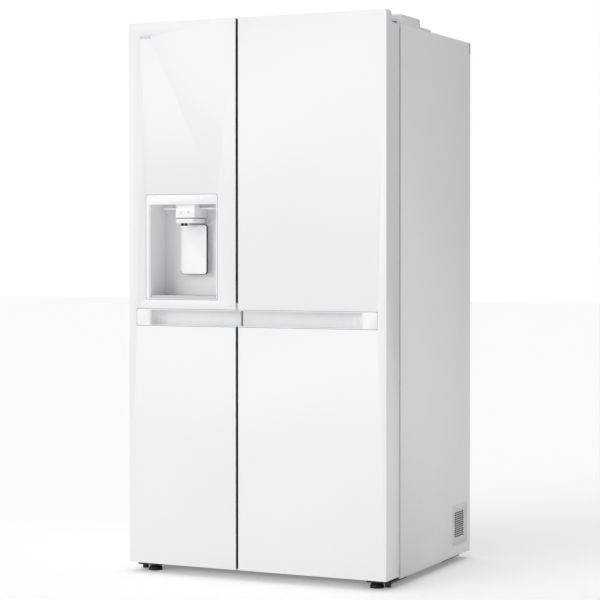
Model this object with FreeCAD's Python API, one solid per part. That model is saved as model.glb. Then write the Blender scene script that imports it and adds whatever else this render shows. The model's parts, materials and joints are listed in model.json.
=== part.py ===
import FreeCAD, Part
import math
import os

Vector = FreeCAD.Vector

# Side by side refrigerator, in millimetres.
# +Z is up, the doors face -Y, and the origin is the centre of the footprint on the floor.

# ---------------------------------------------------------------- driving dimensions
overall_width = 913.0
overall_depth = 735.0
overall_height = 1790.0

# doors
door_thickness = 101.0
door_bottom = 32.0
freezer_door_width = 392.0
centre_gap = 8.0            # between the two doors
gasket_gap = 14.0           # between door back and cabinet front
lip_depth = 42.5            # raised front lip that hides the hinges
lip_height = 34.0           # lip above the hinge ledge
lip_radius = 17.0
door_edge_radius = 2.0
door_ledge_drop = 2.0       # ledge below the cabinet top
skin = 1.0                  # sheet steel of doors and cabinet
cap_wall = 3.0              # moulded end caps of the doors
cap_skirt = 30.0
door_liner_wall = 2.5

# cabinet
cabinet_bottom = 24.0
liner_wall = 2.5
freezer_side_wall = 55.0    # panel to freezer space
fridge_side_wall = 50.0     # panel to fridge space
partition = 56.0            # between the two spaces
roof_wall = 60.0
floor_height = 100.0        # inner floor above the ground
back_wall = 65.5
liner_corner = 18.0
machine_room_depth = 217.0
machine_room_height = 276.0
step_depth = 192.0          # how far the inner step stands off the inner back wall
step_wall = 35.0            # foam between the machine room and the inner step
pan = 2.0                   # floor pan and machine room shroud

# door liner and gasket
plug_clearance = 15.5       # between the liner's raised edge and the opening
plug_depth = 49.0
dyke_width = 25.0
gasket_width = 18.0
gasket_inset = 26.5         # door side to gasket, hinge side
gasket_seat = 0.3           # air left between gasket and cabinet

# recessed handles
handle_bottom = 807.5
handle_height = 53.5
handle_side_margin = 30.0
handle_flat = 44.0
handle_depth = 37.0
handle_wall = 2.5
handle_entry_radius = 9.0
handle_run_radius = 52.0
handle_undercut = 20.0
handle_lip = 6.0
handle_corner = 5.0
trim_gap = 1.2              # shadow gap round inserts

# plain badge, let into the freezer door's skin
badge_left = 42.5
badge_width = 40.0
badge_height = 9.0
badge_drop = 42.5           # top of the door to the badge
badge_depth = 0.5
badge_radius = 2.0

# dispenser
dispenser_left = 64.7       # from the freezer door's outer side
dispenser_width = 261.0
dispenser_bottom = 893.0
dispenser_height = 338.0
bezel_depth = 12.0
bezel_strip = 15.5          # beside the mouth, outer side
bezel_strip_inner = 4.5     # beside the mouth, towards the centre
bezel_sill = 3.0
band_height = 31.0
bezel_radius = 5.0
mouth_roll = 8.0            # rolled side edges of the mouth
recess_depth = 105.5
housing_wall = 2.5
head_width = 75.0
head_offset = -0.3          # head centre from the middle of the bezel
head_setback = 20.0
head_height = 43.4
collar_height = 17.2
head_radius = 14.0
paddle_width = 94.0
paddle_height = 159.5
paddle_thickness = 4.0
paddle_setback = 80.0
paddle_gap = 5.4            # under the collar
paddle_pin = 2.5
paddle_pin_setback = 6.0    # pin axis behind the plate
lug_thickness = 4.0
lug_reach = 4.5             # round the pin
lug_inset = 14.0            # from the paddle's side
lug_gap = 1.0
tray_height = 9.5

# hinges
hinge_inset = 22.5          # pin axis from the cabinet side
hinge_setback = 67.5        # pin axis behind the door front
pin_radius = 6.0
pin_clearance = 0.08
pin_depth = 22.0
hinge_plate = 4.0
cover_length = 162.0
cover_width = 74.0
cover_height = 30.0
cover_wall = 2.5
tail_length = 108.0
tail_height = 8.0

# feet and rollers
foot_inset = 59.5
foot_radius = 23.0
foot_stud_radius = 5.0
foot_pad_height = 12.0
roller_radius = 19.0
roller_width = 24.0
roller_inset = 66.0
roller_setback = 47.0
axle_radius = 4.0
running_clearance = 0.08

# inner fittings
shelf_front_setback = 132.5
shelf_wall_clearance = 1.0
shelf_thickness = 12.0
glass = 4.0
rib_width = 9.0
rib_height = 6.0
drawer_wall = 2.5
drawer_side_clearance = 12.0
drawer_height = 210.0
drawer_setback = 142.5
drawer_lip = 10.0
drawer_floor_gap = 15.0
slide_gap = 0.3
basket_reach = 119.5
basket_height = 100.0
basket_wall = 2.5
freezer_shelf_count = 5
fridge_shelf_count = 3
shelf_over_drawer = 14.7    # upper drawer to the shelf above it
drawer_over_drawer = 10.0
freezer_basket_bottom = 575.0
freezer_basket_pitch = 150.0
fridge_basket_rise = 70.0   # lowest fridge basket above the lowest shelf
fridge_basket_headroom = 60.0

# ---------------------------------------------------------------- derived places
half_width = overall_width / 2
front = -overall_depth / 2
back = overall_depth / 2
door_back = front + door_thickness
cabinet_front = door_back + gasket_gap
ledge = overall_height - lip_height
cabinet_top = ledge + door_ledge_drop
freezer_door_x = (-half_width, -half_width + freezer_door_width)
fridge_door_x = (freezer_door_x[1] + centre_gap, half_width)
hinge_y = front + hinge_setback
hinge_x = half_width - hinge_inset

inner_back = back - back_wall
roof = cabinet_top - roof_wall
centre_x = (freezer_door_x[1] + fridge_door_x[0]) / 2
freezer_x = (-half_width + freezer_side_wall, centre_x - partition / 2)
fridge_x = (centre_x + partition / 2, half_width - fridge_side_wall)
step_front = inner_back - step_depth
room_front = back - machine_room_depth
room_top = cabinet_bottom + machine_room_height
pan_top = cabinet_bottom + pan
lower_drawer_z = floor_height + drawer_floor_gap
step_height = max(room_top + step_wall, lower_drawer_z + drawer_height + drawer_over_drawer)
upper_drawer_z = step_height + slide_gap
crisper_cover = upper_drawer_z + drawer_height + shelf_over_drawer

nodes = {}


# ---------------------------------------------------------------- shape helpers
def box(x0, x1, y0, y1, z0, z1):
    return Part.makeBox(x1 - x0, y1 - y0, z1 - z0, Vector(x0, y0, z0))


def rod(centre, radius, length, axis):
    """A cylinder that starts at centre and runs along axis."""
    return Part.makeCylinder(radius, length, Vector(*centre), Vector(*axis))


def join(shapes):
    return shapes[0].multiFuse(shapes[1:]).removeSplitter() if len(shapes) > 1 else shapes[0]


def group(shapes):
    return Part.makeCompound(shapes)


def mirror_x(shape):
    return shape.mirror(Vector(0, 0, 0), Vector(1, 0, 0))


def face_of(points):
    return Part.Face(Part.makePolygon([Vector(*p) for p in points + points[:1]]))


def prism(points, direction):
    return face_of(points).extrude(Vector(*direction))


def edges_along(shape, axis):
    """Straight edges that run along one row axis."""
    found = []
    for edge in shape.Edges:
        if isinstance(edge.Curve, Part.Line) and abs(abs(edge.Curve.Direction.dot(axis)) - 1) < 1e-6:
            found.append(edge)
    return found


def rounded_z(x0, x1, y0, y1, z0, z1, radius):
    block = box(x0, x1, y0, y1, z0, z1)
    return block.makeFillet(radius, edges_along(block, Vector(0, 0, 1)))


def rounded_x(x0, x1, y0, y1, z0, z1, radius):
    block = box(x0, x1, y0, y1, z0, z1)
    return block.makeFillet(radius, edges_along(block, Vector(1, 0, 0)))


def rounded_y(x0, x1, y0, y1, z0, z1, radius):
    block = box(x0, x1, y0, y1, z0, z1)
    return block.makeFillet(radius, edges_along(block, Vector(0, 1, 0)))


def tube(centre, outer, inner, length, axis):
    return rod(centre, outer, length, axis).cut(rod(centre, inner, length, axis))


def between(start, end, count):
    """count places spread evenly from start to end, both included."""
    return [start + (end - start) * i / (count - 1) for i in range(count)]


# ---------------------------------------------------------------- cabinet shell
vent_y = (back - 164.5, back - 28.5)
vent_z = (60.0, 193.0)
vent_lap = 6.0
vent_gap = 0.8
vent_radius = 6.0
vent_depth = 4.0
vent_wall = 2.5
vent_edge = 1.2
vent_slope = 9.0
vent_bar = 2.0
corner_tab_depth = 9.5
corner_tab_height = 41.0
cover_plate_setback = 2.0


def side_panel(inner_edge, with_vent):
    """Right side panel: sheet, front flange and the notch for the back panel's corner tab."""
    sheet = box(half_width - skin, half_width, cabinet_front, back, cabinet_bottom, cabinet_top)
    flange = box(inner_edge, half_width - skin, cabinet_front, cabinet_front + skin,
                 cabinet_bottom, cabinet_top - skin)
    panel = join([sheet, flange])
    panel = panel.cut(box(half_width - skin, half_width, back - corner_tab_depth, back,
                          cabinet_top - corner_tab_height, cabinet_top))
    if with_vent:
        panel = panel.cut(rounded_x(half_width - skin, half_width, vent_y[0] - vent_gap, vent_y[1] + vent_gap,
                                    vent_z[0] - vent_gap, vent_z[1] + vent_gap, vent_radius + vent_gap))
    return panel


def top_panel():
    left_edge = freezer_x[0] - liner_wall
    right_edge = fridge_x[1] + liner_wall
    sheet = box(-half_width + skin, half_width - skin, cabinet_front, back - skin,
                cabinet_top - skin, cabinet_top)
    flange = box(left_edge, right_edge, cabinet_front, cabinet_front + skin,
                 roof + liner_wall, cabinet_top - skin)
    return join([sheet, flange])


def back_panel():
    sheet = box(-half_width + skin, half_width - skin, back - skin, back, room_top, cabinet_top)
    tab = box(half_width - skin, half_width, back - corner_tab_depth, back,
              cabinet_top - corner_tab_height, cabinet_top)
    return join([sheet, tab, mirror_x(tab)])


def front_trim():
    """Painted cross rail under the two spaces and the mullion between them."""
    rail = box(freezer_x[0] - liner_wall, fridge_x[1] + liner_wall, cabinet_front, cabinet_front + skin,
               cabinet_bottom, floor_height - liner_wall)
    post = box(freezer_x[1] + liner_wall, fridge_x[0] - liner_wall, cabinet_front, cabinet_front + skin,
               floor_height - liner_wall, roof + liner_wall)
    return join([rail, post])


# ---------------------------------------------------------------- base
hinge_plate_width = 84.0
hinge_plate_reach = 24.0     # in front of the pin
rail_setback = 10.5
rail_depth = 62.0
rail_height = 5.0
skid_y = (back - 235.5, back - 86.5)
skid_height = 6.0
roller_y = back - roller_setback
roller_x = half_width - roller_inset
cheek = 3.0
cheek_half = 12.0
cheek_rise = 14.0


def roller_bracket():
    """Two cheeks and the axle that hold the right rear roller."""
    pieces = []
    for side in (-1, 1):
        inner = roller_x + side * (roller_width / 2 + 1.0)
        outer = inner + side * cheek
        pieces.append(box(min(inner, outer), max(inner, outer), roller_y - cheek_half,
                          roller_y + cheek_half, roller_radius - 9.0, roller_radius + cheek_rise))
    reach = roller_width / 2 + 1.0 + cheek
    pieces.append(rod((roller_x - reach, roller_y, roller_radius), axle_radius, 2 * reach, (1, 0, 0)))
    return join(pieces)


def base_frame():
    floor = box(-half_width + skin, half_width - skin, cabinet_front + skin, back - skin,
                cabinet_bottom, pan_top)
    for side in (-1, 1):
        middle = side * roller_x
        half = roller_width / 2 + 1.0
        floor = floor.cut(box(middle - half, middle + half, roller_y - roller_radius - 4,
                              roller_y + roller_radius + 4, cabinet_bottom, pan_top))
    wall = box(-half_width + skin, half_width - skin, room_front - pan, room_front, pan_top, room_top)
    ceiling = box(-half_width + skin, half_width - skin, room_front, back - skin,
                  room_top - pan, room_top)
    rail_half = half_width - 4.5 - hinge_plate_width
    rail_y = cabinet_front + rail_setback
    rail = box(-rail_half, rail_half, rail_y, rail_y + rail_depth,
               cabinet_bottom - rail_height, cabinet_bottom)
    skid = box(-half_width + 6, half_width - 6, skid_y[0], skid_y[1],
               cabinet_bottom - skid_height, cabinet_bottom)
    bracket = roller_bracket()
    return join([floor, wall, ceiling, rail, skid, bracket, mirror_x(bracket)])


def roller():
    wheel = rod((roller_x - roller_width / 2, roller_y, roller_radius), roller_radius,
                roller_width, (1, 0, 0))
    rim_length = 2 * math.pi * roller_radius
    wheel = wheel.makeFillet(2.5, [e for e in wheel.Edges if abs(e.Length - rim_length) < 0.01])
    bore = rod((roller_x - roller_width / 2, roller_y, roller_radius),
               axle_radius + running_clearance, roller_width, (1, 0, 0))
    wheel = wheel.cut(bore)
    dish = tube((roller_x - roller_width / 2, roller_y, roller_radius), 14.0, 8.0, 3.0, (1, 0, 0))
    return wheel.cut(dish).cut(dish.translated(Vector(roller_width - 3.0, 0, 0)))


# ---------------------------------------------------------------- liners and foam
def space(span, grow):
    """Inside of one compartment, grown outwards by the liner's wall, open to the front."""
    hollow = rounded_y(span[0] - grow, span[1] + grow, cabinet_front, inner_back + grow,
                       floor_height - grow, roof + grow, liner_corner + grow)
    step = box(span[0] - 2 * grow - 1, span[1] + 2 * grow + 1, step_front + grow, inner_back + 2 * grow + 1,
               floor_height - 2 * grow - 1, step_height - grow)
    return hollow.cut(step)


def shelf_heights(count, first):
    pitch = (roof - 90 - first) / count
    return [first + pitch * i for i in range(count)]


freezer_shelf_z = shelf_heights(freezer_shelf_count, crisper_cover)
fridge_shelf_z = shelf_heights(fridge_shelf_count + 1, crisper_cover)
shelf_front = cabinet_front + shelf_front_setback
freezer_duct_y = inner_back - 67.0
fridge_duct_y = inner_back - 40.0
freezer_shelf_back = freezer_duct_y - 5.0
fridge_shelf_back = fridge_duct_y - 7.0
drawer_front = cabinet_front + drawer_setback


def ribs(span, heights, shelf_back):
    """Moulded ledges on both side walls that carry shelves and the upper drawer."""
    pieces = []
    for x0, x1 in ((span[0] - 1, span[0] + rib_width), (span[1] - rib_width, span[1] + 1)):
        for z in heights:
            pieces.append(box(x0, x1, shelf_front + 10, shelf_back, z - rib_height, z))
    runner = drawer_side_clearance + 10.0
    for x0, x1 in ((span[0] - 1, span[0] + runner), (span[1] - runner, span[1] + 1)):
        pieces.append(box(x0, x1, drawer_front + 20, step_front + 1, step_height - rib_height, step_height))
    for x0, x1 in ((span[0] + 30, span[0] + 45), (span[1] - 45, span[1] - 30)):
        pieces.append(box(x0, x1, drawer_front + 5, step_front, floor_height - 1,
                          lower_drawer_z - slide_gap))
    return pieces


def liner(span, heights, shelf_back):
    shell = space(span, liner_wall).cut(space(span, 0))
    return join([shell] + ribs(span, heights, shelf_back))


def insulation(liner_spans, base):
    block = box(-half_width + skin, half_width - skin, cabinet_front + skin, back - skin,
                pan_top, cabinet_top - skin)
    block = block.cut(box(-half_width, half_width, room_front - pan, back, 0, room_top))
    for span in liner_spans:
        block = block.cut(space(span, liner_wall))
    return block


# ---------------------------------------------------------------- inner fittings
duct_wall = 4.0


def duct_panel(span, y0, side_inset, slot_rows):
    """Moulded air duct cover in front of the inner back wall, with outlet slots."""
    x0, x1 = span[0] + side_inset, span[1] - side_inset
    top = roof - liner_corner
    outer = box(x0, x1, y0, inner_back, step_height, top)
    hollow = box(x0 + duct_wall, x1 - duct_wall, y0 + duct_wall, inner_back, step_height + duct_wall,
                 top - duct_wall)
    panel = outer.cut(hollow)
    middle = (x0 + x1) / 2
    slots = []
    for z in slot_rows:
        for side in (-1, 1):
            for row in range(3):
                low = z + 12 * row
                a, b = sorted((middle + side * 14, middle + side * (0.38 * (x1 - x0))))
                slots.append(box(a, b, y0 - 1, y0 + duct_wall + 1, low, low + 5))
    return panel.cut(group(slots))


def shelf(span, z, y1):
    """Glass plate and its moulded frame; the plate lies in a rebate of the frame."""
    x0, x1 = span[0] + shelf_wall_clearance, span[1] - shelf_wall_clearance
    plate = box(x0 + 8, x1 - 8, shelf_front + 8, y1 - 8, z + 6, z + 6 + glass)
    frame = rounded_z(x0, x1, shelf_front, y1, z, z + shelf_thickness, 4.0)
    frame = frame.cut(box(x0 + 16, x1 - 16, shelf_front + 16, y1 - 16, z - 1, z + shelf_thickness + 1))
    frame = frame.cut(box(x0 + 8, x1 - 8, shelf_front + 8, y1 - 8, z + 6, z + shelf_thickness + 1))
    return plate, frame


def drawer(span, z, y1):
    """Open moulded drawer with a pull lip along the top of its front."""
    x0, x1 = span[0] + drawer_side_clearance, span[1] - drawer_side_clearance
    top = z + drawer_height
    outer = rounded_z(x0, x1, drawer_front, y1, z, top, 14.0)
    inner = rounded_z(x0 + drawer_wall, x1 - drawer_wall, drawer_front + drawer_wall, y1 - drawer_wall,
                      z + drawer_wall, top + 1, 14.0 - drawer_wall)
    lip = box(x0 + 20, x1 - 20, drawer_front - drawer_lip, drawer_front + 1, top - 26, top)
    grip = box(x0 + 23, x1 - 23, drawer_front - drawer_lip + 3, drawer_front, top - 27, top - 3)
    return outer.cut(inner).fuse(lip.cut(grip)).cut(inner).removeSplitter()


def finned_coil(x0, x1, y0, z0, columns, rows, pitch, tube_radius, fins):
    """Straight tubes through a stack of fins, with return bends at both ends."""
    depth, height = columns * pitch, rows * pitch
    plates = [box(x - 0.5, x + 0.5, y0, y0 + depth, z0, z0 + height)
              for x in between(x0 + 16, x1 - 16, fins)]
    pieces = list(plates)
    for column in range(columns):
        y = y0 + pitch * (column + 0.5)
        for row in range(rows):
            z = z0 + pitch * (row + 0.5)
            pieces.append(rod((x0 + 10, y, z), tube_radius, x1 - x0 - 20, (1, 0, 0)))
        for row in range(rows - 1):
            z = z0 + pitch * (row + 1)
            at_right = row % 2 == 0
            x = x1 - 10 if at_right else x0 + 10
            bend = Part.makeTorus(pitch / 2, tube_radius, Vector(x, y, z), Vector(0, 1, 0))
            keep = box(x, x + pitch, y - pitch, y + pitch, z - pitch, z + pitch)
            if not at_right:
                keep = keep.translated(Vector(-pitch, 0, 0))
            pieces.append(bend.common(keep))
    return join(pieces)


def evaporator():
    coil = finned_coil(freezer_x[0] + 14, freezer_x[1] - 14, freezer_duct_y + 12, 420.0, 2, 8, 24.0, 4.0, 16)
    ends = []
    end_spans = ((freezer_x[0] + duct_wall, freezer_x[0] + 30), (freezer_x[1] - 30, freezer_x[1] - duct_wall))
    for x0, x1 in end_spans:
        ends.append(box(x0, x1, inner_back - 3, inner_back, 400.0, 640.0))
    strap = box(freezer_x[0] + 30, freezer_x[1] - 30, inner_back - 3, inner_back, 500.0, 530.0)
    mounts = [box(x - 4, x + 4, inner_back - 10, inner_back - 3, 505.0, 525.0)
              for x in (freezer_x[0] + 60, freezer_x[1] - 60)]
    return join([coil, strap] + ends + mounts)


compressor_x = half_width - 190.0
compressor_y = back - 112.0
compressor_radius = 76.0
fan_x = -30.0
fan_z = 150.0
fan_radius = 62.0
fan_shaft = 3.0


def compressor():
    base_z = pan_top + 10
    low = base_z + 4
    can = rod((compressor_x, compressor_y, low), compressor_radius, 150.0, (0, 0, 1))
    can = can.makeFillet(34.0, [e for e in can.Edges
                                if abs(e.Length - 2 * math.pi * compressor_radius) < 0.01])
    seam = rod((compressor_x, compressor_y, low + 86), compressor_radius + 3, 8.0, (0, 0, 1))
    plate = rounded_z(compressor_x - 95, compressor_x + 95, compressor_y - 62, compressor_y + 62,
                      base_z, base_z + 4.5, 10.0)
    cap_block = box(compressor_x - compressor_radius - 22, compressor_x - compressor_radius + 12,
                    compressor_y - 24, compressor_y + 24, low + 50, low + 110)
    pieces = [can, seam, plate, cap_block]
    for side_x in (-1, 1):
        for side_y in (-1, 1):
            x, y = compressor_x + side_x * 82, compressor_y + side_y * 48
            pieces.append(rod((x, y, pan_top), 9.0, 10.0, (0, 0, 1)))
            pieces.append(rod((x, y, base_z + 4.5), 6.0, 6.0, (0, 0, 1)))
    for dx, dy in ((30, 40), (46, 30), (-20, 50)):
        pieces.append(rod((compressor_x + dx, compressor_y + dy, low + 100), 4.0, 80.0, (0, 0, 1)))
    return join(pieces)


def condenser():
    """Finned coil on two feet, with the fan's shroud, bracket and motor."""
    x0, x1 = -half_width + 46, fan_x - 66
    coil = finned_coil(x0, x1, compressor_y - 48, 50.0, 3, 6, 30.0, 3.5, 22)
    feet = [box(x - 0.5, x + 0.5, compressor_y - 40, compressor_y + 34, pan_top, 51.0)
            for x in (x0 + 16, x1 - 16)]
    feet += [box(x - 8, x + 8, compressor_y - 40, compressor_y + 34, pan_top, pan_top + 2)
             for x in (x0 + 16, x1 - 16)]
    shroud_x = fan_x - 14
    shroud = box(shroud_x, shroud_x + 3, compressor_y - 84, compressor_y + 84, pan_top, 236.0)
    shroud = shroud.cut(rod((shroud_x - 1, compressor_y, fan_z), fan_radius + 5, 6.0, (1, 0, 0)))
    motor_x = fan_x + 22
    motor = rod((motor_x, compressor_y, fan_z), 24.0, 34.0, (1, 0, 0))
    motor = motor.cut(rod((motor_x - 1, compressor_y, fan_z), fan_shaft + running_clearance, 26.0, (1, 0, 0)))
    post = box(motor_x + 8, motor_x + 26, compressor_y - 7, compressor_y + 7, pan_top, fan_z - 20)
    tie = box(shroud_x + 3, motor_x + 26, compressor_y - 7, compressor_y + 7, pan_top, pan_top + 4)
    return join([coil] + feet + [shroud, motor, post, tie])


def condenser_fan():
    hub = rod((fan_x - 6, compressor_y, fan_z), 17.0, 18.0, (1, 0, 0))
    shaft = rod((fan_x + 12, compressor_y, fan_z), fan_shaft, 30.0, (1, 0, 0))
    blades = []
    for i in range(5):
        blade = box(-7, 7, 12.0, fan_radius, -1.2, 1.2)
        blade = blade.fuse(box(-9, 9, 34.0, fan_radius, -1.2, 1.2)).removeSplitter()
        blade.rotate(Vector(0, 0, 0), Vector(0, 1, 0), 32)
        blade.rotate(Vector(0, 0, 0), Vector(1, 0, 0), 72 * i)
        blades.append(blade.translated(Vector(fan_x + 3, compressor_y, fan_z)))
    return join([hub, shaft] + blades)


def vent_grille():
    """Slotted plate of the machine room behind a sloped rim, let into the right side panel."""
    slot_columns, slot_rows = 4, 12
    floor_x = half_width - vent_depth
    face = rounded_x(floor_x - vent_wall, half_width, vent_y[0], vent_y[1], vent_z[0], vent_z[1], vent_radius)
    frame = box(half_width - skin - vent_wall, half_width - skin, vent_y[0] - vent_lap, vent_y[1] + vent_lap,
                vent_z[0] - vent_lap, vent_z[1] + vent_lap)
    outlines = []
    for x, inset in ((half_width, vent_edge), (floor_x, vent_edge + vent_slope)):
        y0, y1 = vent_y[0] + inset, vent_y[1] - inset
        z0, z1 = vent_z[0] + inset, vent_z[1] - inset
        corners = [Vector(x, y0, z0), Vector(x, y1, z0), Vector(x, y1, z1), Vector(x, y0, z1)]
        outlines.append(Part.makePolygon(corners + corners[:1]))
    dish = Part.makeLoft(outlines, True, True)
    field_y = (vent_y[0] + 28, vent_y[1] - 21.5)
    field_z = (vent_z[0] + 23, vent_z[1] - 23.5)
    pitch_y = (field_y[1] - field_y[0]) / slot_columns
    pitch_z = (field_z[1] - field_z[0]) / slot_rows
    slots = []
    for column in range(slot_columns):
        for row in range(slot_rows):
            y = field_y[0] + pitch_y * column + vent_bar / 2
            z = field_z[0] + pitch_z * row + vent_bar / 2
            slots.append(box(floor_x - vent_wall - 1, half_width, y, y + pitch_y - vent_bar,
                             z, z + pitch_z - vent_bar))
    return join([face, frame]).cut(dish).cut(group(slots))


def machine_room_cover():
    """Louvred rear cover of the machine room, with the inlet gland of the power cord."""
    y1 = back - cover_plate_setback
    y0 = y1 - skin
    cover = box(-half_width + skin, half_width - skin, y0, y1, pan_top, room_top - pan)
    slots = []
    for middle in (-250, 60, 270):
        for row in range(9):
            z = 70 + 20 * row
            slots.append(box(middle - 70, middle + 70, y0 - 1, y1 + 1, z, z + 7))
    cover = cover.cut(group(slots))
    gland = tube((half_width - 60, back - 12, 60.0), 12.0, 5.0, 12.0, (0, 1, 0))
    bore = rod((half_width - 60, back - 14, 60.0), 5.0, 16.0, (0, 1, 0))
    return cover.fuse(gland).cut(bore).removeSplitter()


def screw(place, axis, shank=6.0):
    """Pan head screw whose head lies on a surface at place and stands out along axis."""
    head = rod(place, 3.6, 1.8, axis)
    head = head.makeFillet(0.8, [head.Edges[0]])
    inward = tuple(-a for a in axis)
    return head.fuse(rod(place, 1.8, shank, inward)).removeSplitter()


# ---------------------------------------------------------------- hinges, covers and feet
top_plate_y = (cabinet_front + 6, cabinet_front + 150)


def top_hinge():
    z0, z1 = cabinet_top, cabinet_top + hinge_plate
    arm = box(hinge_x - 30, hinge_x + 6, hinge_y, top_plate_y[1], z0, z1)
    eye = rod((hinge_x, hinge_y, z0), 16.0, hinge_plate, (0, 0, 1))
    web = box(hinge_x - 16, hinge_x + 6, hinge_y, cabinet_front, z0, z1)
    pin = rod((hinge_x, hinge_y, ledge - pin_depth), pin_radius, pin_depth + door_ledge_drop, (0, 0, 1))
    head = rod((hinge_x, hinge_y, z1), 9.0, 3.0, (0, 0, 1))
    arm = arm.cut(box(hinge_x - 31, hinge_x - 16, hinge_y - 1, cabinet_front, z0 - 1, z1 + 1))
    return join([arm, eye, web, pin, head])


def hinge_cover():
    """Hollow moulded cover over the right top hinge, with its thin cable tail."""
    x0, x1 = half_width - cover_width, half_width
    y0 = cabinet_front - 1.5
    y1 = y0 + cover_length
    z0 = cabinet_top
    outer = prism([(x0, y0, z0), (x0, y1 + 2, z0), (x0, y1 - 4, z0 + cover_height),
                   (x0, y0, z0 + cover_height)], (cover_width, 0, 0))
    outer = outer.makeFillet(3.0, [e for e in edges_along(outer, Vector(1, 0, 0))
                                   if e.CenterOfMass.z > z0 + 1])
    inner = box(x0 + cover_wall, x1 - cover_wall, y0 + cover_wall, y1 - 4 - cover_wall,
                z0 - 1, z0 + cover_height - cover_wall)
    mouth = box(hinge_x - 33, hinge_x + 8, y0 - 1, y0 + cover_wall + 1, z0 - 1, z0 + hinge_plate + 4)
    tail = box(x0 + 10, x1 - 6, y1 - 3, y1 + tail_length, z0, z0 + tail_height)
    tail = tail.cut(box(x0 + 12, x1 - 8, y1 - 6, y1 + tail_length - 2, z0 - 1, z0 + tail_height - 2))
    cover = outer.fuse(tail).cut(inner).cut(mouth)
    return cover.removeSplitter()


foot_x = half_width - foot_inset
bottom_plate_z = (cabinet_bottom - 6.0, cabinet_bottom)
thrust_gap = 0.2


def bottom_hinge():
    """Plate under the cabinet that carries the lower pin and the front foot."""
    z0, z1 = bottom_plate_z
    x1 = half_width - 4.5
    plate = rounded_z(x1 - hinge_plate_width, x1, hinge_y - hinge_plate_reach,
                      cabinet_front + rail_setback + rail_depth, z0, z1, 8.0)
    pin = rod((hinge_x, hinge_y, z1), pin_radius, door_bottom + pin_depth - z1, (0, 0, 1))
    collar = rod((hinge_x, hinge_y, z1), 10.0, door_bottom - thrust_gap - z1, (0, 0, 1))
    boss = rod((hinge_x, hinge_y, 4.0), 10.0, z0 - 4.0, (0, 0, 1))
    nut = rod((foot_x, hinge_y, z1), 9.0, 5.0, (0, 0, 1))
    hole = rod((foot_x, hinge_y, z0 - 1), foot_stud_radius + running_clearance, 14.0, (0, 0, 1))
    return join([plate, pin, collar, boss, nut]).cut(hole)


def front_foot():
    pad = Part.makeCone(foot_radius, foot_radius - 2.5, foot_pad_height,
                        Vector(foot_x, hinge_y, 0), Vector(0, 0, 1))
    flats = []
    for i in range(6):
        angle = math.radians(60 * i)
        flats.append((foot_x + 9 * math.cos(angle), hinge_y + 9 * math.sin(angle), foot_pad_height))
    hexagon = prism(flats, (0, 0, 5.0))
    stud = rod((foot_x, hinge_y, foot_pad_height), foot_stud_radius, 17.0, (0, 0, 1))
    return join([pad, hexagon, stud])


# ---------------------------------------------------------------- doors
def door_profile(x0, x1, front_inset, grow=0.0):
    """Side outline of a door, stepped at the top, drawn across from x0 to x1."""
    y_lip = front + lip_depth
    z_round = overall_height - lip_radius
    corner = lip_radius * (1 - math.sqrt(0.5))
    points = [Vector(x0, front + front_inset, door_bottom - grow),
              Vector(x0, front + front_inset, overall_height),
              Vector(x0, y_lip - lip_radius, overall_height), Vector(x0, y_lip, z_round),
              Vector(x0, y_lip, ledge), Vector(x0, door_back + grow, ledge),
              Vector(x0, door_back + grow, door_bottom - grow)]
    middle = Vector(x0, y_lip - corner, overall_height - corner)
    edges = [Part.LineSegment(a, b).toShape() for a, b in zip(points[:2], points[1:3])]
    edges.append(Part.Arc(points[2], middle, points[3]).toShape())
    edges += [Part.LineSegment(a, b).toShape() for a, b in zip(points[3:], points[4:] + points[:1])]
    return Part.Face(Part.Wire(edges)).extrude(Vector(x1 - x0, 0, 0))


def door_skin(span, cuts):
    full = door_profile(span[0], span[1], 0.0)
    corners = [e for e in edges_along(full, Vector(0, 0, 1)) if abs(e.CenterOfMass.y - front) < 1e-6]
    full = full.makeFillet(door_edge_radius, corners)
    shells = [box(span[0] - 1, span[1] + 1, front - 1, front + skin, 0, overall_height + 1),
              box(span[0] - 1, span[0] + skin, front - 1, back, 0, overall_height + 1),
              box(span[1] - skin, span[1] + 1, front - 1, back, 0, overall_height + 1)]
    sheet = full.common(join(shells))
    for tool in cuts:
        sheet = sheet.cut(tool)
    return sheet.removeSplitter()


def door_caps(span, axis_x):
    """Moulded top and bottom ends of a door, each with a bushed boss for its hinge pin."""
    inner = door_profile(span[0] + skin, span[1] - skin, skin)
    top = inner.cut(inner.translated(Vector(0, -cap_wall, -cap_wall)))
    top = top.common(box(span[0], span[1], front, back, ledge - cap_skirt, overall_height + 1))
    bottom = box(span[0] + skin, span[1] - skin, front + skin, door_back, door_bottom, door_bottom + cap_wall)
    skirt = box(span[0] + skin, span[1] - skin, door_back - cap_wall, door_back,
                door_bottom, door_bottom + cap_skirt)
    boss = 13.0
    depth = pin_depth + 3.0
    top_boss = rod((axis_x, hinge_y, ledge - depth), boss, depth, (0, 0, 1))
    low_boss = rod((axis_x, hinge_y, door_bottom), boss, depth, (0, 0, 1))
    bore = pin_radius + pin_clearance
    top_hole = rod((axis_x, hinge_y, ledge - pin_depth - 1), bore, pin_depth + 2, (0, 0, 1))
    low_hole = rod((axis_x, hinge_y, door_bottom - 1), bore, pin_depth + 2, (0, 0, 1))
    caps = group([join([top, top_boss]).cut(top_hole), join([bottom, skirt, low_boss]).cut(low_hole)])
    return caps, group([top_boss, low_boss])


def plug_span(space_span):
    return (space_span[0] + plug_clearance, space_span[1] - plug_clearance)


plug_z = (floor_height + 15.0, roof - 15.0)
liner_back = door_back - door_liner_wall


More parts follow.
